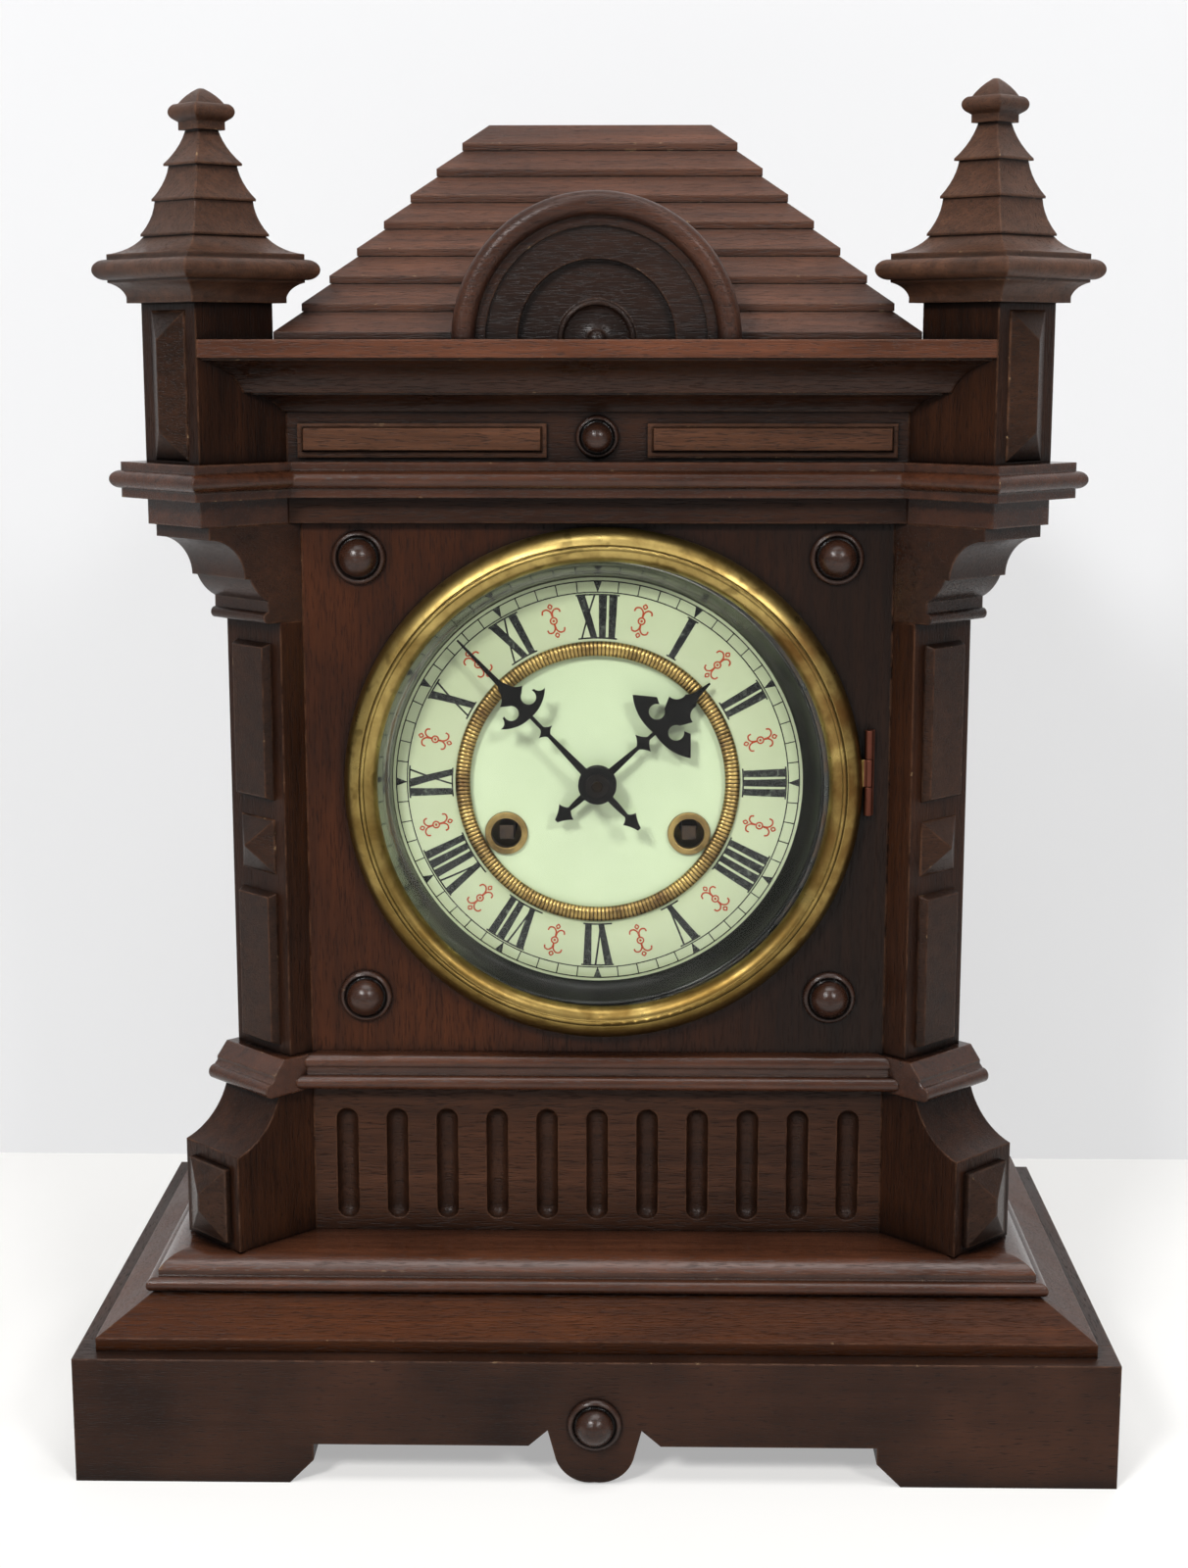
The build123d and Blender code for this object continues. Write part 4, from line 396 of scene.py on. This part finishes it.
def clear_glass(name):
    """Old clear glass, very slightly wavy.

    It refracts what the camera sees. Shadow, diffuse and glossy rays go straight through, so that the lamps
    reach the dial once and not twice.
    """
    g = Graph(name)
    wave = g.noise(g.place(), 18.0, 2.0, 0.5)
    smear = g.noise(g.place(), 60.0, 4.0, 0.6)
    glass = g.surface(
        colour=(0.97, 0.985, 0.975, 1.0),
        roughness=g.span(smear, 0.45, 0.8, 0.0, 0.04),
        transmission=1.0,
        ior=1.22,
        normal=g.bump(wave, 0.0004, 0.25),
    )
    path = g.node("ShaderNodeLightPath").outputs
    bounced = g.math("MAXIMUM", path["Is Diffuse Ray"], path["Is Glossy Ray"])
    straight = g.math("MAXIMUM", path["Is Shadow Ray"], bounced)
    through = g.node("ShaderNodeBsdfTransparent", {"Color": (0.96, 0.97, 0.965, 1.0)})
    join = g.node("ShaderNodeMixShader", {"Fac": straight})
    g.tree.links.new(glass.outputs[0], join.inputs[1])
    g.tree.links.new(through.outputs[0], join.inputs[2])
    g.tree.links.new(join.outputs[0], g.output.inputs["Surface"])
    return g.material


# Woods with a plain surface: name, grain, dark and middle tone, shine, gloss, nodes
WOODS = [
    ("fluted_wood", "x", (0.016, 0.006, 0.0031), (0.049, 0.019, 0.0092), 0.36, 0.14, ["fluted_panel"]),
    ("frieze_wood", "x", DARK, MIDDLE, 0.36, 0.16, ["frieze_board"]),
    ("post_wood", "z", DARK, MIDDLE, 0.36, 0.1, ["pilaster_shafts", "towers", "bracket_feet"]),
    ("side_wood", "z", DARK, MIDDLE, 0.36, 0.16, ["side_panels"]),
    ("cap_wood", "x", (0.028, 0.0071, 0.0016), (0.064, 0.017, 0.0031), 0.34, 0.14, ["plinth_cap"]),
    ("base_wood", "x", (0.027, 0.0088, 0.0042), (0.072, 0.0245, 0.0115), 0.2, 0.36, ["base_moulding"]),
    ("plinth_wood", "y", DARK, MIDDLE, 0.38, 0.16, ["plinth_boards"]),
    (
        "moulding_wood", "x", (0.024, 0.008, 0.004), (0.066, 0.0225, 0.0105), 0.2, 0.36,
        ["sill_moulding", "cornice", "post_collars"],
    ),
    ("cove_wood", "x", DARK, MIDDLE, 0.3, 0.24, ["cove_moulding", "corbels"]),
    ("spire_wood", "x", (0.033, 0.016, 0.0091), (0.086, 0.039, 0.022), 0.36, 0.2, ["spires"]),
    ("roof_wood", "x", (0.035, 0.013, 0.0075), (0.092, 0.035, 0.018), 0.36, 0.26, ["roof"]),
    ("board_wood", "x", (0.042, 0.014, 0.0064), (0.1, 0.034, 0.016), 0.34, 0.2, ["top_board"]),
]
# Painted shade: the dial panel darkens to the right
PANEL_SHADE_LEAN = (-0.03, 0.07, (0.26, 0.36, 0.62), False)
# The frieze's applied panels are lighter than those on the towers and posts
FRIEZE_LEAN = (0.089, 0.087, (2.4, 2.4, 2.4), True)
# The lunette's rim is lighter than its field
LUNETTE_RIM = (0.3248, 0.0325, (2.6, 2.4, 2.3))
PLAIN_NODES = ["back_frame", "seat_board", "back_door"]
DOOR_BRASS_NODES = ["door_hinge_leaves", "frame_hinge_leaves", "door_knob"]
MOVEMENT_NODES = [
    "movement_front_plate", "movement_back_plate", "movement_pillars", "going_barrel", "strike_barrel", "third_wheel",
    "escape_wheel", "minute_wheel", "hour_wheel", "strike_pin_wheel", "pendulum_bob", "rating_nut",
]
STEEL_NODES = ["cannon_pinion", "pallet_anchor", "pendulum_rod", "strike_hammer", "gong_coil"]
# The bezel's hinge lugs, and the blackened front end of the centre arbor
HINGE_END = ("X", 0.0772, 0.0775, HINGE)
ARBOR_END = ("Y", -0.03, -0.031, (0.03, 0.026, 0.022))


def dress(names, material):
    for name in names:
        target = nodes[name]
        if not target.material_slots:
            target.data.materials.append(material)
        for place in target.material_slots:
            place.material = material


for name, grain, dark, middle, shine, gloss, names in WOODS:
    dress(names, wood(name, grain, dark, middle, shine, gloss))
dress(
    ["turned_buttons"],
    wood("turned_wood", "x", (0.014, 0.0055, 0.003), (0.042, 0.0165, 0.0092), shine=0.24, gloss=0.36, wear=0.1),
)
dress(
    ["lunette"],
    wood("lunette_wood", "x", (0.008, 0.0032, 0.0019), (0.02, 0.0083, 0.0048), 0.3, 0.22, halo=LUNETTE_RIM),
)
dress(
    ["dial_panel"],
    wood("dial_panel_wood", "z", (0.018, 0.0047, 0.0011), (0.047, 0.012, 0.0027), shine=0.38, lean=PANEL_SHADE_LEAN),
)
dress(
    ["applied_panels"],
    wood("panel_wood", "x", (0.014, 0.0066, 0.0038), (0.036, 0.015, 0.0077), 0.36, 0.14, lean=FRIEZE_LEAN),
)
dress(
    ["plinth_front"],
    wood("plinth_front_wood", "x", (0.016, 0.0061, 0.0033), (0.04, 0.016, 0.0086), shine=0.38, figure=0.35),
)
dress(
    PLAIN_NODES,
    wood("plain_wood", "z", (0.042, 0.018, 0.0092), (0.092, 0.044, 0.022), shine=0.5, worn=(0.18, 0.1, 0.053)),
)
dress(
    ["bezel"],
    brass("bezel_brass", GOLD, BROWN, 0.27, redness=(0.13, 0.05, 0.018), shade_level=DIAL_Z * MM, end=HINGE_END),
)
dress(["bezel_hinge"], brass("hinge_brass", HINGE, (0.08, 0.026, 0.015), 0.42))
dress(["winding_collars"], brass("dial_brass", (0.5, 0.35, 0.13), (0.15, 0.09, 0.04), 0.32))
dress(DOOR_BRASS_NODES, brass("door_brass", (0.5, 0.36, 0.15), BROWN, 0.36))
dress(
    MOVEMENT_NODES,
    brass("movement_brass", MOVEMENT_GOLD, MOVEMENT_BROWN, spots=0.3, film_and_shade=0.95, depth=0.02),
)
dress(["centre_wheel"], brass("centre_brass", MOVEMENT_GOLD, MOVEMENT_BROWN, end=ARBOR_END))
dress(STEEL_NODES, steel("movement_steel", (0.34, 0.34, 0.36)))
dress(["going_winding_arbor", "strike_winding_arbor"], steel("arbor_steel", (0.035, 0.034, 0.033), 0.36))
dress(["gong_stand"], painted("gong_iron", (0.016, 0.016, 0.017), (0.1, 0.07, 0.05), 0.5))
dress(["dial_centre"], enamel("centre_enamel", (0.72, 0.835, 0.545), (0.68, 0.795, 0.51)))
# Painted shade: the chapter ring's enamel is a darker copy of the centre's
dress(["chapter_ring"], enamel("shaded_ring_enamel", (0.61, 0.68, 0.43), (0.57, 0.635, 0.395)))
dress(["dial_pan"], steel("pan_steel", (0.1, 0.1, 0.095), 0.24))
dress(
    ["hour_hand", "minute_hand"],
    painted("hand_black", (0.0045, 0.0042, 0.004), (0.022, 0.016, 0.012), 0.5, gloss=0.12),
)
dress(["hand_nut"], painted("hub_brown", (0.008, 0.006, 0.005), (0.05, 0.03, 0.02), 0.42, gloss=0.15))
dress(["bezel_glass"], clear_glass("clear_glass"))


# Mesh helpers
def make_piece(name, points, faces, material, body, smooth=False):
    """A mesh piece in millimetres that rides on a body."""
    mesh = bpy.data.meshes.new(name)
    mesh.from_pydata([tuple(c * MM for c in p) for p in points], [], faces)
    mesh.materials.append(material)
    piece = bpy.data.objects.new(name, mesh)
    bpy.context.scene.collection.objects.link(piece)
    if smooth:
        for face in mesh.polygons:
            face.use_smooth = True
    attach(piece, body)
    return piece


def dial_point(radius, y, angle):
    """A point round the dial's axis, its angle clockwise from twelve."""
    return radius * math.sin(angle), y, DIAL_Z + radius * math.cos(angle)


def chapter_y(radius):
    """Depth of the domed chapter ring's face at a radius."""
    half = (CHAPTER_OUTER - CHAPTER_INNER) / 2
    share = (radius - CHAPTER_INNER - half) / half
    chord = CHAPTER_INNER_Y + (CHAPTER_OUTER_Y - CHAPTER_INNER_Y) * (share + 1) / 2
    return chord - CHAPTER_DOME * (1 - share * share)


class Print:
    """Flat printing on the domed ring, gathered as one mesh.

    Places are given as radius and angle clockwise from twelve.
    """

    def __init__(self):
        self.points = []
        self.faces = []

    def at(self, radius, angle):
        self.points.append(dial_point(radius, chapter_y(radius) - PRINT_LIFT, angle))
        return len(self.points) - 1

    def strip(self, left, right):
        """A band between two rows of (radius, angle) places."""
        a = [self.at(*p) for p in left]
        b = [self.at(*p) for p in right]
        for i in range(len(a) - 1):
            self.faces.append((a[i], b[i], b[i + 1], a[i + 1]))

    def ring(self, inner, outer, count=240):
        turn = [2 * math.pi * i / count for i in range(count + 1)]
        self.strip([(inner, t) for t in turn], [(outer, t) for t in turn])

    def stroke(self, place, path, width):
        """A ribbon along a path of (across, up) points, placed by a function to (radius, angle)."""
        left, right = [], []
        for i, (u, v) in enumerate(path):
            before = path[max(i - 1, 0)]
            after = path[min(i + 1, len(path) - 1)]
            du, dv = after[0] - before[0], after[1] - before[1]
            size = math.hypot(du, dv) or 1.0
            nu, nv = -dv / size * width / 2, du / size * width / 2
            left.append(place(u - nu, v - nv))
            right.append(place(u + nu, v + nv))
        self.strip(right, left)

    def make(self, name, material):
        make_piece(name, self.points, self.faces, material, "case")


def smooth_path(points, steps=6):
    """Catmull-Rom curve through points."""
    path = []
    for i in range(len(points) - 1):
        p0 = points[max(i - 1, 0)]
        p1, p2 = points[i], points[i + 1]
        p3 = points[min(i + 2, len(points) - 1)]
        for k in range(steps):
            t = k / steps
            path.append(tuple(
                0.5 * (2 * b + (c - a) * t + (2 * a - 5 * b + 4 * c - d) * t * t + (3 * b - a - 3 * c + d) * t ** 3)
                for a, b, c, d in zip(p0, p1, p2, p3)
            ))
    path.append(points[-1])
    return path


def circle_path(radius, count):
    """A closed circle round the middle."""
    return [(radius * math.sin(a), radius * math.cos(a)) for a in [2 * math.pi * i / count for i in range(count + 1)]]


# Numerals, read with their feet to the centre
NUMERALS = ["XII", "I", "II", "III", "IIII", "V", "VI", "VII", "VIII", "IX", "X", "XI"]
NUMERAL_INNER = 42.6
NUMERAL_OUTER = 55.7
STEM = 2.05
STEM_TOP = STEM * 1.12
V_FOOT = STEM * 0.9
THIN = 0.55
BAR = 0.46
BAR_OVERHANG = 0.25
BAR_STEPS = 12
ADVANCE = {"I": 2.9, "V": 5.8, "X": 5.8}
LETTER_GAP = 0.15
V_STEM_SHIFT = 0.25
V_THIN_SHIFT = 0.45
X_THIN_SHIFT = 0.2
THIN_SPREAD = 0.3
ROWS = 8


def dial_place(angle):
    """Places a numeral's or motif's own across and radius at an angle of the dial."""
    middle = (NUMERAL_INNER + NUMERAL_OUTER) / 2

    def place(u, radius):
        return radius, angle + u / (0.5 * radius + 0.5 * middle)

    return place


def quad(printed, place, bottom, top, width_bottom, width_top):
    """A straight stroke from (across, radius) bottom to top."""
    left, right = [], []
    for i in range(ROWS + 1):
        t = i / ROWS
        u = bottom[0] + (top[0] - bottom[0]) * t
        radius = bottom[1] + (top[1] - bottom[1]) * t
        width = width_bottom + (width_top - width_bottom) * t
        left.append(place(u - width / 2, radius))
        right.append(place(u + width / 2, radius))
    printed.strip(left, right)


black_print = Print()
inner, outer = NUMERAL_INNER + BAR, NUMERAL_OUTER - BAR
for index, text in enumerate(NUMERALS):
    place = dial_place(2 * math.pi * index / 12)
    total = sum(ADVANCE[c] for c in text)
    start = -total / 2
    for letter in text:
        middle = start + ADVANCE[letter] / 2
        reach = ADVANCE[letter] / 2 - STEM / 2 - LETTER_GAP
        thin_top = (middle + reach + THIN_SPREAD, outer)
        if letter == "I":
            quad(black_print, place, (middle, inner), (middle, outer), STEM, STEM_TOP)
        elif letter == "V":
            quad(black_print, place, (middle + V_STEM_SHIFT, inner), (middle - reach, outer), V_FOOT, STEM_TOP)
            quad(black_print, place, (middle + V_THIN_SHIFT, inner), thin_top, THIN, THIN)
        else:
            quad(black_print, place, (middle + reach, inner), (middle - reach, outer), STEM, STEM_TOP)
            quad(black_print, place, (middle - reach - X_THIN_SHIFT, inner), thin_top, THIN, THIN)
        start += ADVANCE[letter]
    edge = total / 2 + BAR_OVERHANG
    bar = [-edge + 2 * edge * i / BAR_STEPS for i in range(BAR_STEPS + 1)]
    for radius in (NUMERAL_INNER, NUMERAL_OUTER - BAR):
        black_print.strip([place(u, radius) for u in bar], [place(u, radius + BAR) for u in bar])

# Minute track, with a wedge at every fifth minute
TRACK_INNER = 56.3
TRACK_OUTER = 59.2
TRACK_LINE = 0.34
TICK_HALF = 0.16
TICK_STEPS = 3
WEDGE_HALF = 1.15
WEDGE_TIP = TRACK_INNER - 0.3
black_print.ring(TRACK_INNER - TRACK_LINE, TRACK_INNER)
black_print.ring(TRACK_OUTER, TRACK_OUTER + TRACK_LINE)
for minute in range(60):
    angle = 2 * math.pi * minute / 60
    half = TICK_HALF / TRACK_OUTER
    rungs = [TRACK_INNER + (TRACK_OUTER - TRACK_INNER) * i / TICK_STEPS for i in range(TICK_STEPS + 1)]
    black_print.strip([(radius, angle - half) for radius in rungs], [(radius, angle + half) for radius in rungs])
    if minute % 5 == 0:
        wide = WEDGE_HALF / TRACK_OUTER
        black_print.strip(
            [(WEDGE_TIP, angle), (TRACK_OUTER, angle - wide)],
            [(WEDGE_TIP, angle), (TRACK_OUTER, angle + wide)],
        )
black_print.make("dial_numerals", ink("dial_black", (0.006, 0.007, 0.0065), (0.3, 0.34, 0.26), 0.5))

# Red arabesques between the numerals
MOTIF_RADIUS = 49.4
ROUND = circle_path(0.95, 24)
ROUND_LINE = 0.44
DOT = circle_path(0.18, 12)
DOT_LINE = 0.42
DIAMOND = [(0, 3.5), (0.65, 4.25), (0, 5.0), (-0.65, 4.25), (0, 3.5)]
DIAMOND_LINE = 0.4
HOOK = smooth_path([(0.05, 1.1), (0.22, 2.45), (1.1, 3.3), (2.15, 3.1), (2.45, 2.2)])
HOOK_LINE = 0.46
HOOK_GROWTH = 1.1
red_print = Print()
for index in range(12):
    place = dial_place(2 * math.pi * (index + 0.5) / 12)

    def motif_place(u, v, place=place):
        return place(u, MOTIF_RADIUS + v)

    red_print.stroke(motif_place, ROUND, ROUND_LINE)
    red_print.stroke(motif_place, DOT, DOT_LINE)
    for up in (-1, 1):
        for side_ends in zip(DIAMOND, DIAMOND[1:]):
            red_print.stroke(motif_place, [(u, up * v) for u, v in side_ends], DIAMOND_LINE)
        for side in (-1, 1):
            grow = 1.0 if side * up > 0 else HOOK_GROWTH
            hook = [(side * u * grow, up * v * grow) for u, v in HOOK]
            red_print.stroke(motif_place, hook, HOOK_LINE)
red_print.make("dial_arabesques", ink("dial_red", (0.44, 0.05, 0.012), (0.6, 0.33, 0.18), 0.3))

# Polished coved ring between the dial and the bezel: its section as (radius, y)
SIGHT = [(60.6, -30.3), (62.2, -31.4), (63.8, -33.6), (65.1, -36.6), (65.9, -40.0), (65.9, -28.2), (60.6, -28.2)]
SIGHT_TURNS = 180
corners = len(SIGHT)
sight_points, sight_faces = [], []
for i in range(SIGHT_TURNS):
    angle = 2 * math.pi * i / SIGHT_TURNS
    sight_points.extend(dial_point(radius, y, angle) for radius, y in SIGHT)
    a, b = i * corners, (i + 1) % SIGHT_TURNS * corners
    for k in range(corners):
        n = (k + 1) % corners
        sight_faces.append((a + k, a + n, b + n, b + k))
sight_metal = polished("sight_metal", (0.36, 0.36, 0.33), (0.022, 0.022, 0.021))
make_piece("sight_ring", sight_points, sight_faces, sight_metal, "case", smooth=True)

# Milled brass ring, with its fine ribs
ROPE_RADIUS = 39.7
ROPE_HALF = 2.2
ROPE_HEIGHT = 1.75
ROPE_ROUNDNESS = 0.8
RIBS = 216
RIB_SWELL = (0.0, 0.75, 1.0, 0.75)
RIB_VALLEY = 0.7
RIB_RISE = 0.3
RIB_FOOT = 0.25
PROFILE_STEPS = 10
around = RIBS * len(RIB_SWELL)
row = PROFILE_STEPS + 1
rope_points, rope_faces = [], []
for i in range(around):
    angle = 2 * math.pi * i / around
    swell = RIB_SWELL[i % len(RIB_SWELL)]
    for k in range(row):
        t = math.pi * k / PROFILE_STEPS
        rise = math.sin(t) ** ROPE_ROUNDNESS
        rib = RIB_VALLEY + RIB_RISE * swell if rise > RIB_FOOT else 1.0
        radius = ROPE_RADIUS - ROPE_HALF * math.cos(t)
        rope_points.append(dial_point(radius, DIAL_FACE_Y - ROPE_HEIGHT * rise * rib, angle))
for i in range(around):
    j = (i + 1) % around
    for k in range(PROFILE_STEPS):
        rope_faces.append((i * row + k, i * row + k + 1, j * row + k + 1, j * row + k))
    rope_faces.append((i * row + PROFILE_STEPS, i * row, j * row, j * row + PROFILE_STEPS))
milled_brass = brass(
    "milled_brass", (0.6, 0.41, 0.14), (0.13, 0.07, 0.03), 0.26, film_and_shade=0.9, depth=0.0009, ribs=(RIBS, DIAL_Z * MM)
)
milled = make_piece("milled_ring_ribbed", rope_points, rope_faces, milled_brass, "case", smooth=True)
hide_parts("milled_ring")


# Stage: pale floor and a white wall close behind, as in the photo
def stage_material(name, colour, lift):
    """Matt paint, seen lighter than it lights by lift, and clear from behind."""
    g = Graph(name)
    cloud = g.noise(g.place(), 9.0, 3.0, 0.5)
    tone = g.mix(g.span(cloud, 0.3, 0.7), rgba(colour), rgba(colour, 0.985))
    matt = g.node("ShaderNodeBsdfDiffuse", {"Color": tone})
    path = g.node("ShaderNodeLightPath").outputs
    mirrored = g.math("MAXIMUM", path["Is Glossy Ray"], path["Is Transmission Ray"])
    seen = g.math("MAXIMUM", path["Is Camera Ray"], mirrored)
    glow = g.node("ShaderNodeEmission", {"Color": (1.0, 1.0, 1.0, 1.0), "Strength": g.math("MULTIPLY", seen, lift)})
    both = g.node("ShaderNodeAddShader")
    g.tree.links.new(matt.outputs[0], both.inputs[0])
    g.tree.links.new(glow.outputs[0], both.inputs[1])
    behind = g.node("ShaderNodeNewGeometry").outputs["Backfacing"]
    one_sided = g.node("ShaderNodeMixShader", {"Fac": behind})
    g.tree.links.new(both.outputs[0], one_sided.inputs[1])
    g.tree.links.new(g.node("ShaderNodeBsdfTransparent").outputs[0], one_sided.inputs[2])
    g.tree.links.new(one_sided.outputs[0], g.output.inputs["Surface"])
    return g.material


def stage_plane(name, corners, material):
    mesh = bpy.data.meshes.new(name)
    mesh.from_pydata(corners, [], [(0, 1, 2, 3)])
    mesh.materials.append(material)
    plane = bpy.data.objects.new(name, mesh)
    bpy.context.scene.collection.objects.link(plane)
    return plane


FAR = 3
WALL_Y = 0.2
stage_plane(
    "floor",
    [(-FAR, -FAR, 0), (FAR, -FAR, 0), (FAR, FAR, 0), (-FAR, FAR, 0)],
    stage_material("floor_pale", (0.6, 0.59, 0.57), lift=0.39),
)
wall = stage_plane(
    "wall",
    [(-FAR, WALL_Y, 0), (FAR, WALL_Y, 0), (FAR, WALL_Y, FAR), (-FAR, WALL_Y, FAR)],
    stage_material("wall_white", (0.36, 0.362, 0.372), lift=0.52),
)
# The back lamp stands behind the wall
wall.visible_shadow = False

# World: low as a light, brighter where it is seen or mirrored
LIGHT_LEVEL = 0.08
SEEN_LEVEL = 0.45
world = bpy.data.worlds.new("studio")
bpy.context.scene.world = world
world.use_nodes = True
tree = world.node_tree
background = tree.nodes["Background"]
background.inputs["Color"].default_value = (1.0, 1.0, 1.0, 1.0)
path = tree.nodes.new("ShaderNodeLightPath").outputs
seen = path["Is Camera Ray"]
for kind in ("Is Glossy Ray", "Is Transmission Ray"):
    most = tree.nodes.new("ShaderNodeMath")
    most.operation = "MAXIMUM"
    tree.links.new(seen, most.inputs[0])
    tree.links.new(path[kind], most.inputs[1])
    seen = most.outputs[0]
level = tree.nodes.new("ShaderNodeMapRange")
level.inputs["To Min"].default_value = LIGHT_LEVEL
level.inputs["To Max"].default_value = SEEN_LEVEL
tree.links.new(seen, level.inputs["Value"])
tree.links.new(level.outputs["Result"], background.inputs["Strength"])


def lamp(name, place, aim, size, power):
    data = bpy.data.lights.new(name, "AREA")
    data.shape = "RECTANGLE"
    data.size, data.size_y = size
    data.energy = power
    light = bpy.data.objects.new(name, data)
    bpy.context.scene.collection.objects.link(light)
    light.location = place
    light.rotation_euler = (Vector(aim) - Vector(place)).to_track_quat("-Z", "Y").to_euler()


lamp("key", place=(-0.62, -1.25, 1.1), aim=(0, 0, 0.2), size=(0.3, 0.3), power=17.0)
lamp("fill", place=(0.7, -1.25, 1.0), aim=(0, 0, 0.2), size=(0.3, 0.3), power=8.4)
lamp("top", place=(0.1, -0.4, 1.6), aim=(0, 0, 0.25), size=(1.2, 0.6), power=11.5)
lamp("back", place=(0.6, 1.5, 1.2), aim=(0, 0, 0.2), size=(0.8, 0.8), power=9.0)

# Camera, from the fit to the photo's straight edges
CAMERA_PLACE = (0.011011, -0.723140, 0.322123)
PITCH = math.radians(10.3486)
YAW = math.radians(1.0024)
FOCAL_PX = 2429.29
LONG_SIDE_PX = 1600
SENSOR_MM = 36.0
camera_data = bpy.data.cameras.new("photo_camera")
camera_data.sensor_fit = "AUTO"
camera_data.sensor_width = SENSOR_MM
camera_data.lens = FOCAL_PX / LONG_SIDE_PX * SENSOR_MM
camera_data.clip_start = 0.01
camera = bpy.data.objects.new("photo_camera", camera_data)
bpy.context.scene.collection.objects.link(camera)
camera.location = CAMERA_PLACE
look = Vector((-math.sin(YAW) * math.cos(PITCH), math.cos(YAW) * math.cos(PITCH), -math.sin(PITCH)))
camera.rotation_euler = look.to_track_quat("-Z", "Y").to_euler()
bpy.context.scene.camera = camera
bpy.context.scene.view_settings.view_transform = "Standard"
